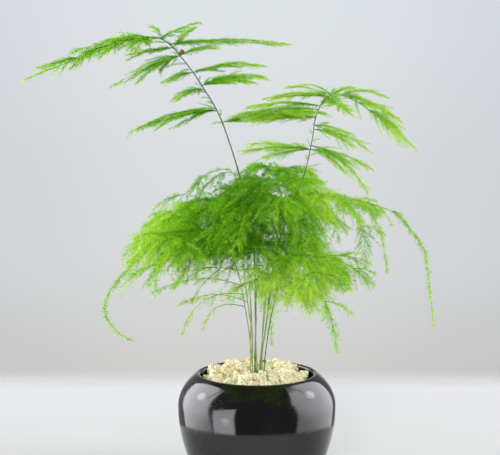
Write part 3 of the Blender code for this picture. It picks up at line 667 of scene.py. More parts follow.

# %% [markdown]
# ## How the fronds grow
#
# Every frond of the solid model follows a route of points. The stem is a smooth curve through them. Some
# ribs are listed one by one, from where they leave the stem to their tip; others grow by a rule, left and
# right in turn, as a fan. The same numbers and the same random seeds give the same lines here as there.


# %% The routes of the twelve fronds
STEM_FOOT_Z, STEM_FREE_Z = 59, 74  # in mm, inside the crown and where the stem leaves the stones


def spray(at, tip, arch, width, reach=0.5):
    """A rib: its place on the stem (0 to 1), its tip, how far its middle rises, and its half width.

    Reach is how far out its elbow is, as a share of the way to its tip.
    """
    return dict(at=at, tip=tip, arch=arch, width=width, reach=reach)


def fan(first, last, count, longest, width=14, droop=0.35):
    """Ribs on both sides of a stem between two places along it, the longest a quarter of the way up."""
    return dict(first=first, last=last, count=count, longest=longest, width=width, droop=droop)


def frond(foot, route, ribs=None, sprays=()):
    """A frond in mm: where its stem stands, its way up from there, the rule of its fan, and its sprays."""
    below, above = (*foot, STEM_FOOT_Z), (*foot, STEM_FREE_Z)
    return dict(route=[below, above, *route], fan=ribs, sprays=[spray(*values) for values in sprays])


FRONDS = {
    "tall_left": frond(
        foot=(-1.2, 1.2),
        route=[(-1, 2, 131), (-6, 4, 177), (-21, 6, 228), (-34, 6, 252), (-46, 5, 269), (-58, 2, 281),
               (-72, -1, 282), (-91, -4, 278), (-109, -8, 270), (-124, -11, 264), (-142, -14, 257)],
        sprays=[(0.53, (41, 4, 236), 5, 17), (0.53, (28, 34, 231), 4, 13),
                (0.555, (-77, -12, 225), 8, 14), (0.56, (-63, 24, 226), 7, 13),
                (0.6, (-51, -10, 245), 5, 9), (0.61, (4, -14, 258), 7, 15), (0.61, (0, 30, 257), 5, 13),
                (0.64, (3, -8, 265), 6, 12), (0.64, (-56, -12, 255), 3, 11),
                (0.68, (-88, -8, 253), 4, 13), (0.68, (-73, 20, 264), 3, 11), (0.68, (-25, 8, 277), 4, 7),
                (0.71, (20, -6, 278), 6, 8), (0.7, (-78, -14, 272), 1, 7), (0.73, (-38, 24, 292), 2, 12),
                (0.7, (-40, 0, 288), 3, 9), (0.72, (-66, 12, 289), 4, 8), (0.75, (-89, 26, 282), 3, 12),
                (0.75, (-77, -34, 275), 3, 12), (0.78, (-101, 28, 278), 3, 12),
                (0.79, (-94, -36, 270), 3, 12), (0.83, (-117, 20, 273), 3, 11),
                (0.84, (-112, -28, 264), 2, 10), (0.89, (-137, 8, 264), 1, 7)],
    ),
    "tall_right": frond(
        foot=(2.0, 1.4),
        route=[(6, 6, 102), (11, 9, 141), (20, 13, 172), (30, 17, 196), (35, 20, 217), (38, 22, 234),
               (46, 23, 246), (60, 22, 244), (79, 20, 231), (99, 18, 214)],
        sprays=[(0.61, (-7, -14, 213), 4, 14), (0.61, (-3, 44, 214), 3, 13), (0.61, (68, 2, 203), 5, 15),
                (0.62, (68, -14, 188), 12, 11), (0.66, (67, -8, 215), 5, 15),
                (0.67, (60, 46, 220), 4, 13), (0.69, (-4, -12, 231), 2, 11), (0.71, (-13, 2, 234), 5, 15),
                (0.72, (-6, 44, 238), 4, 13), (0.73, (58, -22, 235), 5, 13), (0.75, (3, -20, 245), 3, 11),
                (0.76, (22, 40, 251), 3, 12), (0.72, (58, 0, 252), 5, 9), (0.78, (83, 36, 245), 7, 8),
                (0.8, (76, -10, 239), 3, 13), (0.83, (91, 34, 231), 4, 11),
                (0.86, (88, -10, 224), 3, 11)],
    ),
    "left_high": frond(
        foot=(-4.2, 0.6),
        route=[(-4, -1, 117), (-6, 0, 142), (-8, 2, 164), (-11, 5, 184), (-14, 8, 196), (-19, 11, 200),
               (-28, 14, 198), (-39, 18, 190), (-52, 23, 177), (-68, 28, 160), (-84, 32, 145)],
        ribs=fan(0.52, 0.93, 6, 40, 13, 0.85),
    ),
    "left_low": frond(
        foot=(-4.0, -2.4),
        route=[(-3, -5, 94), (-6, -9, 120), (-9, -14, 144), (-13, -18, 164), (-19, -22, 175),
               (-30, -26, 177), (-43, -29, 172), (-59, -31, 160), (-77, -32, 144), (-89, -32, 130),
               (-93, -32, 120), (-91, -31, 111), (-85, -30, 103), (-77, -29, 98)],
        ribs=fan(0.44, 0.71, 5, 38, 13, 0.5),
        sprays=[(0.28, (-63, -44, 130), 14, 9), (0.24, (-49, -40, 121), 12, 8)],
    ),
    "front_left": frond(
        foot=(-2.6, -4.9),
        route=[(-4, -6, 91), (-7, -14, 114), (-12, -28, 141), (-20, -46, 162), (-31, -62, 170),
               (-43, -76, 166), (-55, -86, 155), (-61, -92, 142)],
        ribs=fan(0.46, 0.93, 5, 40, 14, 0.35),
        sprays=[(0.36, (-45, -46, 105), 18, 8, 0.8), (0.31, (-33, -34, 107), 14, 7, 0.8)],
    ),
    "back_left": frond(
        foot=(-2.8, 4.0),
        route=[(-3, 6, 98), (-5, 12, 129), (-9, 26, 156), (-17, 44, 172), (-32, 60, 176), (-50, 74, 168),
               (-66, 86, 153), (-79, 94, 137)],
        ribs=fan(0.44, 0.92, 5, 42, 14, 0.5),
    ),
    "back_mid": frond(
        foot=(0.2, 4.4),
        route=[(-1, 8, 104), (1, 18, 135), (3, 34, 162), (8, 52, 183), (12, 70, 193), (18, 90, 194),
               (25, 111, 182)],
        ribs=fan(0.5, 0.94, 5, 44, 14, 0.25),
        sprays=[(0.34, (10, 44, 82), 20, 7, 0.9)],
    ),
    "front_mid": frond(
        foot=(0.0, -4.2),
        route=[(-1, -8, 101), (-1, -18, 134), (3, -30, 166), (8, -44, 188), (9, -58, 197), (3, -74, 194),
               (-7, -88, 181), (-12, -98, 166)],
        ribs=fan(0.48, 0.93, 5, 44, 15, 0.25),
    ),
    "right_long": frond(
        foot=(1.6, -1.6),
        route=[(4, -2, 99), (6, -4, 125), (8, -6, 151), (14, -9, 170), (27, -12, 181), (48, -14, 185),
               (68, -15, 181), (85, -15, 175), (96, -15, 163), (103, -15, 152), (107, -14, 130),
               (110, -12, 104)],
        ribs=fan(0.46, 0.7, 6, 36, 12, 0.6),
        sprays=[(0.62, (80, -22, 139), 16, 7, 0.8)],
    ),
    "right_low": frond(
        foot=(4.6, -0.8),
        route=[(6, -2, 89), (9, -5, 109), (14, -10, 129), (20, -16, 145), (29, -22, 152), (41, -28, 151),
               (55, -32, 145), (70, -34, 134)],
        ribs=fan(0.46, 0.9, 5, 38, 14, 0.4),
    ),
    "front_right": frond(
        foot=(2.9, -4.2),
        route=[(4, -6, 91), (7, -16, 115), (12, -32, 139), (21, -52, 154), (28, -68, 152), (35, -78, 140),
               (42, -84, 122), (46, -86, 102)],
        ribs=fan(0.44, 0.84, 5, 38, 14, 0.4),
    ),
    "back_right": frond(
        foot=(3.4, 4.2),
        route=[(4, 8, 104), (8, 18, 135), (16, 34, 162), (29, 52, 175), (46, 68, 179), (62, 82, 171),
               (73, 92, 152), (76, 98, 128)],
        ribs=fan(0.44, 0.88, 5, 42, 14, 0.4),
    ),
}
print("fronds:", len(FRONDS), "with", sum(len(frond["sprays"]) for frond in FRONDS.values()), "sprays")


# %% Lines in space
def unit(v):
    """The same direction with length 1."""
    return v / np.linalg.norm(v)


def even_line(line, count):
    """The same line as evenly spaced points."""
    run = np.r_[0, np.cumsum(np.linalg.norm(np.diff(line, axis=0), axis=1))]
    want = np.linspace(0, run[-1], count)
    return np.stack([np.interp(want, run, line[:, k]) for k in range(3)], axis=1)


def smooth_line(points, count):
    """A curve through the points, as evenly spaced points of its own."""
    p = np.array(points, float)
    p = np.vstack([2 * p[0] - p[1], p, 2 * p[-1] - p[-2]])
    fine = []
    for a, b, c, d in zip(p, p[1:], p[2:], p[3:]):
        for t in np.linspace(0, 1, 12, endpoint=False):
            fine.append(0.5 * (2 * b + (c - a) * t + (2 * a - 5 * b + 4 * c - d) * t**2
                               + (3 * b - a - 3 * c + d) * t**3))
    fine.append(p[-2])
    return even_line(np.array(fine), count)


def length_of(line):
    """The length of a line of points."""
    return np.linalg.norm(np.diff(line, axis=0), axis=1).sum()


def point_at(line, share):
    """The point at a place along a line, from 0 at its root to 1 at its tip."""
    x = min(max(share, 0), 1) * (len(line) - 1)
    i = min(int(x), len(line) - 2)
    return line[i] + (x - i) * (line[i + 1] - line[i])


def heading_at(line, share):
    """The direction in which a line runs at a place along it."""
    return unit(point_at(line, share + 0.03) - point_at(line, share - 0.03))


# %% How a rib bends
def bent_line(start, tip, arch, reach=0.5, count=13):
    """A rib from start to tip that rises by about half of arch in its middle."""
    s = np.linspace(0, 1, count)[:, None]
    elbow = start + reach * (tip - start) * (1, 1, 0) + UP * ((tip - start)[2] * 0.5 + arch)
    return (1 - s) ** 2 * start + 2 * s * (1 - s) * elbow + s**2 * tip


def bell(s, first, last, peak=0.28):
    """1 at the peak, falling evenly to first and last at the two ends."""
    if s < peak:
        return first + (1 - first) * s / peak
    return 1 - (1 - last) * (s - peak) / (1 - peak)


# %% Ribs of a fan
FAN_ANGLE, FAN_CLOSING = 75, 35  # a rib's angle to the stem in degrees, and how much it closes to the tip
FAN_ENDS = (0.85, 0.4)  # the first and the last rib's share of the longest one's length


def fan_ribs(stem, rule, rng, flip=1):
    """(start, tip, arch, half width) of the ribs of a fan, on its two sides in turn."""
    outward = unit((stem[-1] - stem[0]) * (1, 1, 0))
    ribs = []
    for i in range(rule["count"]):
        k = i / (rule["count"] - 1)
        share = rule["first"] + (rule["last"] - rule["first"]) * k
        ahead = unit(heading_at(stem, share) * (1, 1, 0.3) + 0.4 * outward)
        across = unit(np.cross(UP, ahead)) * (flip if i % 2 else -flip)
        angle = math.radians(FAN_ANGLE - FAN_CLOSING * k + rng.uniform(-8, 8))
        length = rule["longest"] * MM * bell(k, *FAN_ENDS) * rng.uniform(0.9, 1.1)
        aim = unit(math.cos(angle) * ahead + math.sin(angle) * across + UP * rng.uniform(0.05, 0.2))
        start = point_at(stem, share)
        fall = length * rule["droop"] * rng.uniform(0.7, 1.3)
        ribs.append((start, start + length * aim - fall * UP, 0.5 * fall, rule["width"] * MM))
    return ribs


# %% How a rib keeps clear of the other fronds
RIB_CLEARANCE = 2.4 * MM
CHECKED_EVERY = 0.8 * MM
ATTEMPTS = 24
SWING = 0.9  # how many mm further the tip may move at each attempt


def clear_of(tree, line, distance):
    """True when no point of the line is near a point of the tree."""
    return all(tree.find(p)[2] is None or tree.find(p)[2] > distance for p in line)


def tree_of(lines):
    """A search tree of all the points of some lines."""
    points = [p for line in lines for p in line]
    tree = KDTree(len(points))
    for i, p in enumerate(points):
        tree.insert(p, i)
    tree.balance()
    return tree


def place_rib(start, tip, arch, reach, tree, rng):
    """The rib, turned and lifted a little until it passes clear of the other fronds, or None."""
    for attempt in range(ATTEMPTS):
        swing = SWING * attempt * MM
        moved = tip + swing * np.array([rng.uniform(-1, 1), rng.uniform(-1.6, 1.6), rng.uniform(-0.8, 0.8)])
        line = bent_line(start, moved, arch, reach)
        checked = even_line(line, 2 + int(length_of(line) / CHECKED_EVERY))[3:]
        if clear_of(tree, checked, RIB_CLEARANCE):
            return line
    return None


# %% Grow the lines of all fronds
STEM_POINTS = 60
FINE_STEM_POINTS = 400
FINE_RIB_POINTS = 60


def grow_skeleton():
    """{frond: (stem, [(rib, half width), ...])}, the lines that all the foliage hangs on."""
    stems = {name: smooth_line(np.array(frond["route"]) * MM, STEM_POINTS) for name, frond in FRONDS.items()}
    fine_stems = {name: even_line(stem, FINE_STEM_POINTS) for name, stem in stems.items()}
    grown = {}
    placed = {}
    for number, (name, frond) in enumerate(FRONDS.items()):
        rng = random.Random(100 + number)
        stem = stems[name]
        others = [line for other, line in fine_stems.items() if other != name]
        tree = tree_of(others + [rib for ribs in placed.values() for rib in ribs])
        wanted = []
        for s in frond["sprays"]:
            tip = np.array(s["tip"]) * MM
            wanted.append((point_at(stem, s["at"]), tip, s["arch"] * MM, s["width"] * MM, s["reach"]))
        if frond["fan"]:
            wanted += [rib + (0.5,) for rib in fan_ribs(stem, frond["fan"], rng)]
        ribs = []
        for start, tip, arch, width, reach in wanted:
            line = place_rib(start, tip, arch, reach, tree, rng)
            if line is not None:
                ribs.append((line, width))
        grown[name] = (stem, ribs)
        placed[name] = [even_line(rib, FINE_RIB_POINTS) for rib, _ in ribs]
    return grown


grown = grow_skeleton()
print("ribs:", {name: len(ribs) for name, (_, ribs) in grown.items()})

# %% [markdown]
# The solid model has few ribs in its fans, because each one costs it many faces. The living plant has
# about twice as many. Each rib of a fan gets a partner on the other side of the stem, and a long rib
# branches again, which makes the three-cornered outline of an asparagus fern's frond. In the two tall
# fronds each rib gets a partner beside it.


# %% Side ribs and partner ribs
BOX_MARGIN = 7 * MM
SIDE_RIBS_AT = (0.14, 0.28, 0.42, 0.56, 0.7)
SIDE_RIB_WIDTH = 0.7
PARTNER_WIDTH = 0.85


def side_ribs(rib, width, rng):
    """Shorter ribs that leave a long rib on its two sides and hang a little."""
    made = []
    length = length_of(rib)
    side = rng.choice((-1, 1))
    for share in SIDE_RIBS_AT:
        ahead = heading_at(rib, share)
        across = unit(np.cross(UP, ahead) + 1e-6) * side
        side = -side
        angle = math.radians(rng.uniform(30, 55))
        aim = unit(math.cos(angle) * ahead + math.sin(angle) * across + UP * rng.uniform(-0.6, 0.45))
        reach = length * (0.68 - 0.5 * share) * rng.uniform(0.8, 1.2)
        start = point_at(rib, share)
        fall = reach * rng.uniform(0.15, 0.6)
        made.append((bent_line(start, start + reach * aim - fall * UP, 0.45 * fall), SIDE_RIB_WIDTH * width))
    return made


def partner(rib, width, rng):
    """A rib beside another, a little shorter, lower and turned."""
    chord = rib[-1] - rib[0]
    shift = np.array([rng.uniform(-5, 5), rng.uniform(-12, 12), rng.uniform(-5, 2)]) * MM
    tip = rib[0] + rng.uniform(0.6, 0.95) * chord + shift
    return bent_line(rib[0], tip, rng.uniform(1, 5) * MM), PARTNER_WIDTH * width


def trimmed(rib):
    """The rib, cut shorter where its tip would grow out of the solid model's box."""
    low, high = np.array(cad_box[0]) + BOX_MARGIN, np.array(cad_box[1]) - BOX_MARGIN
    inside = np.all((rib >= low) & (rib <= high), axis=1)
    last = len(rib) if inside.all() else max(int(inside.argmin()), 3)
    return even_line(rib[:last], len(rib))


# %% Add them to the fronds
SPARSE = ["left_high", "right_long"]  # thin arcs at the edge of the mass, which get no more ribs
DENSE = ["front_mid", "back_mid"]  # these fill the top of the mass, and get a second fan
DENSE_FAN = dict(first=0.47, last=0.78, longest=36)
BRANCHES_FROM = 22 * MM
BRANCH_WIDTH_FROM = 10 * MM


def fan_lines(stem, rule, rng, share, flip=1):
    """The lines of a fan's ribs with their half widths, which are a share of the rule's."""
    return [(bent_line(start, tip, arch), share * width)
            for start, tip, arch, width in fan_ribs(stem, rule, rng, flip)]


def more_ribs(name, rng):
    """[(rib, half width)] that a frond gets beside those of the solid model."""
    (stem, ribs), rule = grown[name], FRONDS[name]["fan"]
    if name in SPARSE:
        return []
    if rule is None:
        return [partner(rib, width, rng) for rib, width in ribs]
    extra = fan_lines(stem, rule, rng, 0.9, flip=-1)
    for rib, width in ribs + extra:
        if length_of(rib) > BRANCHES_FROM and width > BRANCH_WIDTH_FROM:
            extra += side_ribs(rib, width, rng)
    if name in DENSE:
        extra += fan_lines(stem, dict(rule, **DENSE_FAN), rng, 1)
    return extra


for number, (name, (stem, ribs)) in enumerate(grown.items()):
    ribs += [(trimmed(rib), width) for rib, width in more_ribs(name, random.Random(700 + number))]
print("ribs now:", sum(len(ribs) for _, ribs in grown.values()))

# %% [markdown]
# ## Twigs and needles
#
# Twigs leave a rib left and right in turn and lie in one flat plane, which gives the fern its feathery
# layers. They start at a wide angle and bend forward, and droop a little. Along each twig sit small
# whorls of needles. Making each needle as an object would be far too slow, so all the needles of a frond
# are worked out at once with arrays: a root, a direction and a length for each. A needle is a slim blade
# of four points, folded a little along its midrib.

# %% Twigs of one rib
TWIG_PITCH = 1.45 * MM
TWIG_POINTS = 4
TWIG_ROLL = 1.3  # how far, in radians, a twig of a tousled spray may turn out of the spray's plane
TWIG_BEND = 0.22

# A twig's angle to its rib at the rib's root, how much that closes towards its tip, and the twig's sag.
WIDE_TWIGS = (58, 26, 0.28)
COMBED_TWIGS = (35, 14, 0.13)


def twigs_of(line, width, first, rng, ends=(0.5, 0.3), loose=0.0, angles=WIDE_TWIGS):
    """[(twig's points, share along the rib)] on both sides. Loose: 0 is a flat spray, 1 a tousled one."""
    opening, closing, slack = angles
    length = length_of(line)
    count = max(2, int((length - first) / TWIG_PITCH))
    made = []
    for i in range(count):
        share = (first + (length - first) * (i + rng.uniform(0.1, 0.9)) / count) / length
        ahead = heading_at(line, share)
        across = np.cross(UP, ahead)
        if np.linalg.norm(across) < 0.25:
            across = np.cross(UP, line[-1] - line[0]) + 1e-6
        across = unit(across)
        roll = loose * rng.uniform(-TWIG_ROLL, TWIG_ROLL)
        across = math.cos(roll) * across + math.sin(roll) * np.cross(ahead, across)
        across *= 1 if i % 2 else -1
        angle = math.radians(opening - closing * share + rng.uniform(-9, 9) * (1 + loose))
        aim = unit(math.cos(angle) * ahead + math.sin(angle) * across + UP * rng.uniform(-0.15, 0.2))
        reach = width * bell(share, *ends) * rng.uniform(0.7 - 0.25 * loose, 1.12 + 0.3 * loose)
        sag = (slack + 0.3 * loose * rng.random()) * reach
        s = np.linspace(0, 1, TWIG_POINTS)[:, None]
        twig = point_at(line, share) + reach * (s * aim + TWIG_BEND * s**2 * ahead) - sag * s**2 * UP
        made.append((twig, share))
    return made


# %% Tubes and needles as arrays
def frames_of(lines):
    """Unit vectors along, across and over each point of many lines of equal length."""
    along = np.gradient(lines, axis=1)
    along /= np.linalg.norm(along, axis=2, keepdims=True)
    chord = lines[:, -1] - lines[:, 0]
    chord /= np.linalg.norm(chord, axis=1, keepdims=True)
    helper = np.where(np.abs(chord[:, 2:]) > 0.8, (1.0, 0.0, 0.0), (0.0, 0.0, 1.0))[:, None, :]
    across = np.cross(helper, along)
    across /= np.linalg.norm(across, axis=2, keepdims=True)
    return along, across, np.cross(along, across)


def tubes(lines, radii, sides):
    """Points and triangles of thin tubes. Lines is (tubes, points, 3) and radii (tubes, points)."""
    count, rings = lines.shape[:2]
    _, across, over = frames_of(lines)
    turn = math.tau * np.arange(sides) / sides
    round_it = np.cos(turn)[:, None] * across[:, :, None] + np.sin(turn)[:, None] * over[:, :, None]
    points = lines[:, :, None] + radii[:, :, None, None] * round_it
    a = np.arange(sides)
    b = (a + 1) % sides
    quads = []
    for ring in range(rings - 1):
        lower, upper = ring * sides, (ring + 1) * sides
        quads.append(np.stack([lower + a, lower + b, upper + b], axis=1))
        quads.append(np.stack([lower + a, upper + b, upper + a], axis=1))
    one = np.vstack(quads)
    faces = (one[None] + (np.arange(count) * rings * sides)[:, None, None]).reshape(-1, 3)
    return points.reshape(-1, 3), faces


# %% Whorls along twigs
# The pitch of the whorls, the needles in each, their lean in degrees, and how uneven the whorls' shade is.
FINE_WHORLS = (0.95 * MM, 4, (18, 46), 0.03)
TUFTED_WHORLS = (1.4 * MM, 6, (28, 66), 0.1)


def whorl_places(lines, pitch, rng):
    """For each whorl: its twig, its share along it, its point, and the twig's three directions there."""
    length = np.linalg.norm(np.diff(lines, axis=1), axis=2).sum(axis=1)
    count = np.maximum(2, (length / pitch).astype(int))
    twig = np.repeat(np.arange(len(lines)), count)
    number = np.arange(len(twig)) - np.repeat(np.cumsum(count) - count, count)
    share = (number + rng.uniform(0.2, 0.9, len(twig))) / count[twig]
    at = np.clip(share, 0, 1) * (lines.shape[1] - 1)
    low = np.minimum(at.astype(int), lines.shape[1] - 2)
    part = (at - low)[:, None]
    root = lines[twig, low] * (1 - part) + lines[twig, low + 1] * part
    return twig, share, root, [v[twig, low] for v in frames_of(lines)]


# %% The needles of the whorls
NEEDLE_LENGTH = 3.1 * MM
NEEDLE_WIDTH = (0.33 * MM, 0.19 * MM)  # of an old and of a young one
NEEDLE_CHART = (0.1, 0.4, 0.4, 0.9)  # how high up the colour chart its four points are
WIDEST_AT = 0.4
FOLD = 0.06 * MM
FLAT = 0.75  # how round a whorl is: 1 is all round the twig, 0 lies in the plane of the spray
GREEN_FROM = 0.14  # the oldest green across the colour chart: dry and woody places are lower


def blades(foot, aim, along, size, width, rng):
    """Four points of each needle: a slim blade, folded along its midrib and turned at random."""
    side = np.cross(aim, along)
    side /= np.linalg.norm(side, axis=1, keepdims=True) + 1e-9
    back = np.cross(aim, side)
    roll = rng.uniform(0, math.pi, len(foot))[:, None]
    side, back = np.cos(roll) * side + np.sin(roll) * back, np.cos(roll) * back - np.sin(roll) * side
    middle = foot + WIDEST_AT * size[:, None] * aim + FOLD * back
    half = 0.5 * width[:, None] * side
    return np.stack([foot, middle + half, middle - half, foot + size[:, None] * aim], axis=1)


def needles_on(lines, shades, whorls, rng):
    """Points, triangles and shades of the needles on many twigs. Shades is (root, tip) for each twig."""
    pitch, needles, leans, uneven = whorls
    twig, share, root, (along, across, over) = whorl_places(lines, pitch, rng)
    whorl = np.repeat(np.arange(len(twig)), needles)
    turn = math.tau * (np.tile(np.arange(needles), len(twig)) / needles + rng.random(len(twig))[whorl])
    turn += rng.uniform(-0.4, 0.4, len(whorl))
    lean = np.radians(rng.uniform(*leans, len(whorl)))
    out = np.cos(turn)[:, None] * across[whorl] + FLAT * np.sin(turn)[:, None] * over[whorl]
    aim = np.cos(lean)[:, None] * along[whorl] + np.sin(lean)[:, None] * out
    aim /= np.linalg.norm(aim, axis=1, keepdims=True)
    size = NEEDLE_LENGTH * (1.05 - 0.45 * share[whorl] ** 2) * rng.uniform(0.7, 1.2, len(whorl))
    width = np.interp(shades[twig, 1], (0.2, 0.8), NEEDLE_WIDTH)[whorl]
    points = blades(root[whorl], aim, along[whorl], size, width, rng)
    faces = np.array([(0, 1, 3), (0, 3, 2)])
    faces = (faces[None] + 4 * np.arange(len(whorl))[:, None, None]).reshape(-1, 3)

    age = shades[twig, 0] * (1 - share) + shades[twig, 1] * share
    age = np.where(age > GREEN_FROM, age + rng.uniform(-uneven, uneven, len(twig)), age)[whorl]
    age = np.clip(age, 0.02, 0.98)
    chart = np.stack([np.stack([age, age - 0.01, age + 0.01, age], axis=1),
                      np.broadcast_to(NEEDLE_CHART, (len(age), 4))], axis=2)
    return points.reshape(-1, 3), faces, chart.reshape(-1, 2)


# %% [markdown]
# ## Greens
#
# Old needles inside the plant are a deep green, and the young ones at the tips are a pale yellow green.
# Deep in the mass of the low fronds that darker green is painted shade as well.
# Each needle carries its place on a small colour chart in a UV map: across the chart it goes from dry
# brown and woody, through old, to young, and up the chart from the needle's root to its tip, which is
# painted paler as painted light. The material only reads that chart, so one material serves every
# needle, and the colour can be baked exactly.

# %% The foliage's finish
# the pale green of painted light that each needle's tip is blended towards
LIT_GREEN = (0.46, 0.72, 0.06)
GREENS = [(0.03, (0.20, 0.125, 0.03)), (0.06, (0.12, 0.12, 0.035)), (0.09, (0.12, 0.12, 0.035)),
          (0.13, (0.012, 0.1, 0.001)), (0.3, (0.036, 0.215, 0.003)), (0.6, (0.165, 0.46, 0.01)),
          (0.85, (0.37, 0.64, 0.035)), (1.0, (0.50, 0.72, 0.12))]

foliage, tree, shader = new_material("fern_needles")
chart = tree.nodes.new("ShaderNodeUVMap")
chart.uv_map = "tint"
across_chart, up_chart, _ = add_node(tree, "ShaderNodeSeparateXYZ", Vector=chart.outputs["UV"]).outputs
greens = add_node(tree, "ShaderNodeValToRGB", Fac=across_chart)
stops = greens.color_ramp.elements
for k, (place, colour) in enumerate(GREENS):
    stop = stops[k] if k < 2 else stops.new(place)
    stop.position = place
    stop.color = (*colour, 1)
# Painted light: each needle is blended paler towards its tip, as where light shines through it.
paler = blend_colours(tree, up_chart, greens.outputs["Color"], LIT_GREEN)
shade = blend_colours(tree, 0.25, greens.outputs["Color"], paler)
feed_all(tree, shader, Base_Color=shade, Roughness=0.7, Specular_IOR_Level=0.02)
print("chart of", len(stops), "greens and browns")


# %% The stems' finishes: older stems are dark and woody, younger ones still olive green
def stem_finish(name, darker, paler):
    """A finish of wood or green bark, with fine bumps."""
    return mottled_finish(name, darker, paler, scale=260.0, roughness=0.55,
                          relief=(2600.0, 1500.0, 0.2), bump=(0.35, 0.0002), shine=0.3)


woody_green = stem_finish("woody_stem", (0.06, 0.105, 0.03), (0.12, 0.135, 0.05))
olive_green = stem_finish("olive_stem", (0.20, 0.27, 0.07), (0.32, 0.32, 0.12))
OLD_STEMS = ["tall_left", "tall_right", "back_mid", "right_low"]

# %% [markdown]
# ## Dressing the fronds
#
# The two tall fronds stand free in the light: their sprays are flat and combed, with fine whorls, and
# only their upper ends are leafy. The low fronds are crowded, so their sprays are tousled and tufted.
# Their growth is old and dark in a heart inside the mass, and young and pale at its outer side. That dark
# heart is also painted shade, and the growth below it is painted paler as painted light. Under the left
# side and at the outer right the sprays are thin and hang like ropes.

# %% The habits of tall and low fronds
# First: the bare foot of a rib. Stem_twigs: the length of the twigs on the stem itself, and 3 for every
# third of them. Woody: the share of the stem that has a bark finish. Along, to_tip and uneven: what a
# twig's age gains along its rib and to its own tip, and how much it varies. Ages are places across the
# colour chart, low for old growth and high for young.
# In the low fronds the ages also carry painted shade and painted light, from where a twig sits in the mass.
TALL = dict(first=1 * MM, spray=dict(ends=(0.8, 0.3), loose=0.25, angles=COMBED_TWIGS), whorls=FINE_WHORLS,
            stem_twigs_from=0.52, stem_twigs=(9 * MM, 3), woody=0.9, along=0.26, to_tip=0.2, uneven=0.1)
LOW = dict(first=3 * MM, spray=dict(ends=(0.5, 0.3), loose=0.8, angles=WIDE_TWIGS), whorls=TUFTED_WHORLS,
           stem_twigs_from=0.46, stem_twigs=(12 * MM, 1), woody=0.43, along=0.10, to_tip=0.14, uneven=0.2)
HABITS = {name: TALL if name.startswith("tall") else LOW for name in FRONDS}
print("tall fronds:", [name for name, habit in HABITS.items() if habit is TALL])

# %% What differs from frond to frond
DRY, WOODY = 0.02, 0.075  # their places across the colour chart
FROND_AGE = dict(tall_left=0.42, tall_right=0.58, left_high=0.16, left_low=0.24, front_left=0.15,
                 back_left=0.15, back_mid=0.15, front_mid=0.15, right_long=0.24, right_low=0.16,
                 front_right=0.16, back_right=0.18)  # the place of its oldest twigs across the chart
WIDTH_SHARE = dict(tall_left=1.0, tall_right=1.25, left_high=0.7, left_low=0.8, front_left=1.1,
                   back_left=0.8, front_mid=1.25, back_mid=1.2, right_long=0.45, right_low=0.75,
                   front_right=0.9, back_right=0.7)  # how wide its sprays are beside the solid model's
GAPPY = dict(tall_left=0.28, tall_right=0.38, left_high=0.4, right_long=0.65, back_right=0.5,
             right_low=0.35, front_right=0.3)  # the share of twigs left out on its wide ribs
STEM_TWIGS = dict(left_high=(4 * MM, 4), right_long=(4 * MM, 1))
DRY_SHARE = dict(right_low=0.06, back_right=0.05)
TAIL_WIDTH = dict(tall_left=6 * MM, left_low=5 * MM, right_long=5 * MM, front_right=6 * MM)
STEM_RADIUS = dict(tall_left=0.54 * MM, tall_right=0.46 * MM)
print("fronds with gaps:", ", ".join(GAPPY))

# %% Where the growth is old and the shade is painted, and where it hangs
# The heart is painted shade as well as old growth: a way up from it counts little, so the top stays dark,
# and a way down counts much, so the underside is painted paler as painted light.
HEART = (-11 * MM, 0.0, 167 * MM)
HEART_SIZE = 15 * MM
HEART_FADE = 41 * MM
HEART_DEPTH, HEART_ABOVE, HEART_BELOW = 0.25, 0.55, 2.1  # how much a way back, up or down from it counts
RIPENING_AND_SHADE = 0.6
HANGS_BELOW, HANGS_LEFT_OF = 147 * MM, 6 * MM
ROPED_RIGHT_OF = 38 * MM


def ripeness_and_shade(point):
    """0 in the old heart of the low fronds, which is also painted shade, and 1 at their young outer side."""
    drop = (HEART_ABOVE if point[2] > HEART[2] else HEART_BELOW) * (point[2] - HEART[2])
    away = math.hypot(point[0] - HEART[0], HEART_DEPTH * (point[1] - HEART[1]), drop)
    return min(max((away - HEART_SIZE) / HEART_FADE, 0), 1)


def ripening_and_shade(name, point):
    """How much younger a place in a low frond is than its oldest twigs, with painted shade and light in it.
    The tall ones don't ripen so.
    """
    return 0 if HABITS[name] is TALL else RIPENING_AND_SHADE * ripeness_and_shade(point)


def hangs_free(rib):
    """True for a rib under the left side of the mass, where only a few thin sprays hang."""
    return rib[:, 2].mean() < HANGS_BELOW and rib[:, 0].mean() < HANGS_LEFT_OF


def is_roped(rib):
    """True for a rib at the outer right, where the sprays are narrow and droop like ropes."""
    return rib[:, 0].mean() > ROPED_RIGHT_OF


# %% Tubes for stems and ribs, and the chart places of tubes
def stem_tube(line, radii, sides):
    """A tube along one line. Radii is (root, tip), or a radius for each point."""
    size = np.interp(np.linspace(0, 1, len(line)), np.linspace(0, 1, len(radii)), radii)
    return tubes(line[None], size[None], sides)


def knotted(radii, rng):
    """The radii of a stem, with a small swelling at each node, where a scale leaf once sat."""
    radii = np.array(radii)
    ring = rng.randint(4, 9)
    while ring < len(radii) - 2:
        radii[ring] *= 1.35
        ring += rng.randint(7, 12)
    return radii


def pile(parts):
    """One array of points and one of triangles from several."""
    points, faces, start = [], [], 0
    for p, f in parts:
        points.append(p)
        faces.append(f + start)
        start += len(p)
    return np.vstack(points), np.vstack(faces)


def core_chart(ages, sides):
    """The chart places of tubes, from the age at each of their rings."""
    rings = ages.shape[1]
    up = np.linspace(0.02, 0.08, rings)
    round_it = np.arange(sides) * 0.02 / sides
    across = np.clip(ages, 0.01, 0.97)[:, :, None] + round_it
    return np.stack([across, np.broadcast_to(up[:, None], across.shape)], axis=3).reshape(-1, 2)


# %% How one rib is dressed
NARROW = 9.5 * MM  # the low fronds' listed ribs and their slimmest side ribs are narrower
NARROW_SHARE = 1.3
ROPE_WIDTH = 0.55
HANGING_GAPS = 0.5
STRAND_AGE = 0.12  # a hanging strand is this much younger than its place tells, and a roped one older


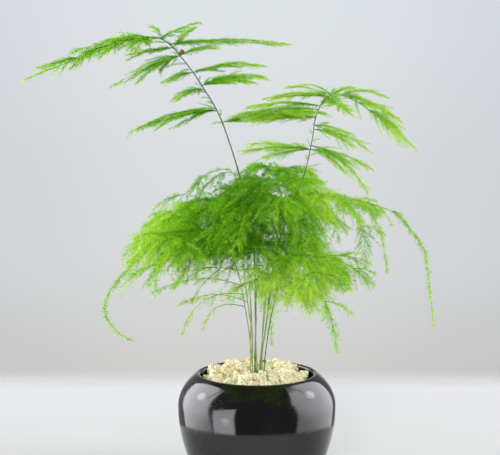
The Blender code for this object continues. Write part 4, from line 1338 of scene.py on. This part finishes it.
def rib_dress(name, rib, width):
    """(half width, share of its twigs that are left out, what its place adds to the age)."""
    tall, wide = HABITS[name] is TALL, width > NARROW
    hanging, roped = not tall and hangs_free(rib), not tall and is_roped(rib)
    width *= WIDTH_SHARE[name] if tall or wide else NARROW_SHARE
    if hanging:
        return ROPE_WIDTH * width, HANGING_GAPS, STRAND_AGE
    if roped:
        return ROPE_WIDTH * width, 0, -STRAND_AGE
    return width, GAPPY.get(name, 0) if wide else 0, 0


def rib_ages(name, rib):
    """The ages at the root and the tip of a rib's own wood."""
    young, tall = FROND_AGE[name], HABITS[name] is TALL
    root = WOODY if hangs_free(rib) else 0.18 if tall else young + 0.1
    # The rib's tip takes the painted shade and light of its place.
    return root, young + (0.1 if tall else ripening_and_shade(name, rib[-1]))


# %% The twigs of one frond
TUFT_AGE = (0.4, 0.2)  # what the tip of a rib adds to the frond's age, and what that twig gains to its tip
STEM_TWIG_AGE = 0.2
TAIL_AGE, TAIL_RIPENS, TAIL_TO_TIP = 0.24, 0.3, 0.25
SHORTEST_TAIL = 6 * MM


def twigs_and_ages(name, rng):
    """The twigs of a frond, and the ages at the root and tip of each."""
    stem, ribs = grown[name]
    young, dry, habit = FROND_AGE[name], DRY_SHARE.get(name, 0), HABITS[name]
    twigs, ages = [], []

    def add(run, age, more):
        if rng.random() < dry and ripeness_and_shade(run[0]) < 0.9:
            ages.append((DRY, DRY))
        else:
            ages.append((max(age, GREEN_FROM), max(age, GREEN_FROM) + more))
        twigs.append(run)

    for rib, width in ribs:
        width, gaps, extra = rib_dress(name, rib, width)
        for run, share in twigs_of(rib, width, habit["first"], rng, **habit["spray"]):
            if rng.random() < gaps:
                continue
            # Painted shade and light: deep in the mass the twig is darker, below the heart paler.
            ripe_and_shade = ripening_and_shade(name, run[0]) + extra
            varied = rng.uniform(-habit["uneven"], habit["uneven"])
            add(run, young + ripe_and_shade + habit["along"] * share + varied, habit["to_tip"])
        add(smooth_line(rib[-3:], TWIG_POINTS), young + TUFT_AGE[0], TUFT_AGE[1])

    last = max(np.linalg.norm(stem - rib[0], axis=1).argmin() for rib, _ in ribs)
    leafy_stem = stem[int(habit["stem_twigs_from"] * len(stem)):last]
    width, step = STEM_TWIGS.get(name, habit["stem_twigs"])
    for run, _ in twigs_of(leafy_stem, width, 0, rng, (0.8, 0.8), 1.0)[::step]:
        add(run, young + ripening_and_shade(name, run[0]), STEM_TWIG_AGE)
    tail = stem[last:]
    if length_of(tail) > SHORTEST_TAIL:
        for run, share in twigs_of(tail, TAIL_WIDTH.get(name, 10 * MM), 0, rng, (1, 0.3), 0.5):
            add(run, young + TAIL_AGE + TAIL_RIPENS * share, TAIL_TO_TIP)
    return np.array(twigs), np.clip(np.array(ages), 0.02, 0.98)


# %% Dress one frond
USUAL_RADIUS = 0.35 * MM
STEM_TAPER = 0.45
RIB_RADIUS = (0.22 * MM, 0.09 * MM)
TWIG_RADIUS = (0.12 * MM, 0.06 * MM)
STEM_RINGS, RIB_RINGS = 120, 14
STEM_SIDES, GREEN_STEM_SIDES, RIB_SIDES, TWIG_SIDES = 8, 5, 4, 3
GREENING = ((0, 0.12, 0.3, 1), (WOODY, 0.3, 0.45, 0.7))  # places along the green stem and their ages


def dress_frond(name, number):
    """Makes the frond's wood and its foliage, and returns how many twigs, needles and faces it has."""
    stem, ribs = grown[name]
    habit = HABITS[name]
    rng = random.Random(300 + number)
    radius = STEM_RADIUS.get(name, USUAL_RADIUS)
    fine = smooth_line(stem, STEM_RINGS)
    radii = knotted(np.linspace(radius, STEM_TAPER * radius, STEM_RINGS), rng)
    cut = int(habit["woody"] * STEM_RINGS)
    skin = woody_green if name in OLD_STEMS else olive_green
    woody = mesh_from(name + "_stem", *stem_tube(fine[:cut + 1], radii[:cut + 1], STEM_SIDES), skin)

    greening = np.interp(np.linspace(0, 1, STEM_RINGS - cut), *GREENING)
    leafy = [stem_tube(fine[cut:], radii[cut:], GREEN_STEM_SIDES)]
    charts = [core_chart(greening[None], GREEN_STEM_SIDES)]
    for rib, _ in ribs:
        leafy.append(stem_tube(smooth_line(rib, RIB_RINGS), RIB_RADIUS, RIB_SIDES))
        charts.append(core_chart(np.linspace(*rib_ages(name, rib), RIB_RINGS)[None], RIB_SIDES))
    twigs, ages = twigs_and_ages(name, rng)
    points, faces, chart = needles_on(twigs, ages, habit["whorls"], np.random.default_rng(900 + number))
    radii = np.broadcast_to(np.linspace(*TWIG_RADIUS, TWIG_POINTS), twigs.shape[:2])
    leafy += [(points, faces), tubes(twigs, radii, TWIG_SIDES)]
    charts += [chart, core_chart(np.linspace(ages[:, 0], ages[:, 1], TWIG_POINTS).T, TWIG_SIDES)]
    green = mesh_from(name + "_needles", *pile(leafy), foliage, np.vstack(charts), smooth=False)
    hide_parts(name)
    return len(twigs), len(points) // 4, len(green.data.polygons) + len(woody.data.polygons)


# %% Dress every frond
total = 0
for number, name in enumerate(FRONDS):
    twigs, needles, faces = dress_frond(name, number)
    total += faces
    print(f"{name}: {twigs} twigs, {needles} needles, {faces} faces")
print("foliage in all:", total, "faces")

# %% [markdown]
# ## The crown
#
# All the stems spring from a woody crown. Only its top shows between the stones: a few brown knobs, and
# the stubs of stems that were cut long ago. The knobs are made as the stones are, from lumpy balls, and a
# stub is a short tube with a sunk, ragged end.

# %% The crown's finish
crown_finish = mottled_finish("brown_crown", (0.11, 0.075, 0.04), (0.26, 0.19, 0.10), scale=420.0,
                              roughness=0.85, relief=(1200.0, 500.0, 0.6), bump=(0.9, 0.0005))

# %% Knobs and stubs
# In mm, a knob is (x, y, radius) and a stub (x, y, its top, radius).
CROWN_Z = 65 * MM
CROWN_KNOBS = ((0, 0, 5.6), (-4.2, 1.5, 3.4), (3.8, 2.6, 3.2), (1.5, -4.4, 3.0), (-2.4, -4.0, 3.2),
               (0.4, 4.4, 3.2))
STUBS = ((-4.8, -4.6, 73.2, 1.0), (-3.4, -5.6, 71.8, 0.8), (0.2, -6.0, 73.6, 1.2), (1.8, -5.4, 72.4, 0.9),
         (-5.6, 1.2, 72.2, 0.8), (5.6, 2.4, 72.0, 0.8))
STUB_RINGS = STUB_SIDES = 12


def stub(x, y, top, radius, rng):
    """The stub of an old stem: a short tube with a sunk, ragged end."""
    foot, head = np.array((0.7 * x, 0.7 * y, 1000 * CROWN_Z)) * MM, np.array((x, y, top)) * MM
    line = bent_line(foot, head, rng.uniform(-0.5, 0.5) * MM, count=STUB_RINGS)
    line = np.vstack([line, line[-1] + 0.05 * MM * UP, line[-1] + 0.08 * MM * UP])
    rough = np.array([rng.uniform(0.9, 1.1) for _ in range(STUB_RINGS)])
    widths = radius * MM * np.r_[np.linspace(1.3, 1.0, STUB_RINGS) * rough, 0.7, 0.02]
    points, faces = tubes(line[None], widths[None], STUB_SIDES)
    ragged = [rng.uniform(-0.3, 0.3) * MM for _ in range(STUB_SIDES)]
    points[-3 * STUB_SIDES:, 2] += np.tile(ragged, 3)
    return points, faces


rng = random.Random(77)
ball, ball_faces = ball_of(4)
parts = [(np.array(stone_points(ball, (x * MM, y * MM, CROWN_Z, r * MM), rng)), ball_faces)
         for x, y, r in CROWN_KNOBS]
parts += [stub(*values, rng) for values in STUBS]
crown = mesh_from("knobby_crown", *pile(parts), crown_finish)
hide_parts("root_crown")
print("crown:", len(crown.data.polygons), "faces")

# %% [markdown]
# A dry scale bud, three small brown knobs, sits where the tall left stem gives off its upper sprays.

# %% The scale bud
BUD_AT = 0.685
BUD_KNOBS = (((1.5, -1.2, 0.1), 1.4), ((3.1, -1.2, 0.9), 1.2), ((2.0, -1.0, 2.0), 0.9))  # (shift, radius)

bud_place = point_at(grown["tall_left"][0], BUD_AT) * 1000
ball, ball_faces = ball_of(3)
parts = [(np.array(stone_points(ball, (*(MM * (bud_place + np.array(shift))), size * MM), rng)), ball_faces)
         for shift, size in BUD_KNOBS]
bud_finish = stem_finish("dry_scale", (0.20, 0.085, 0.025), (0.50, 0.29, 0.11))
bud = mesh_from("scale_bud", *pile(parts), bud_finish)
print("bud at", np.round(bud_place, 1))

# %% How the colours are shown
bpy.context.scene.view_settings.view_transform = "Standard"
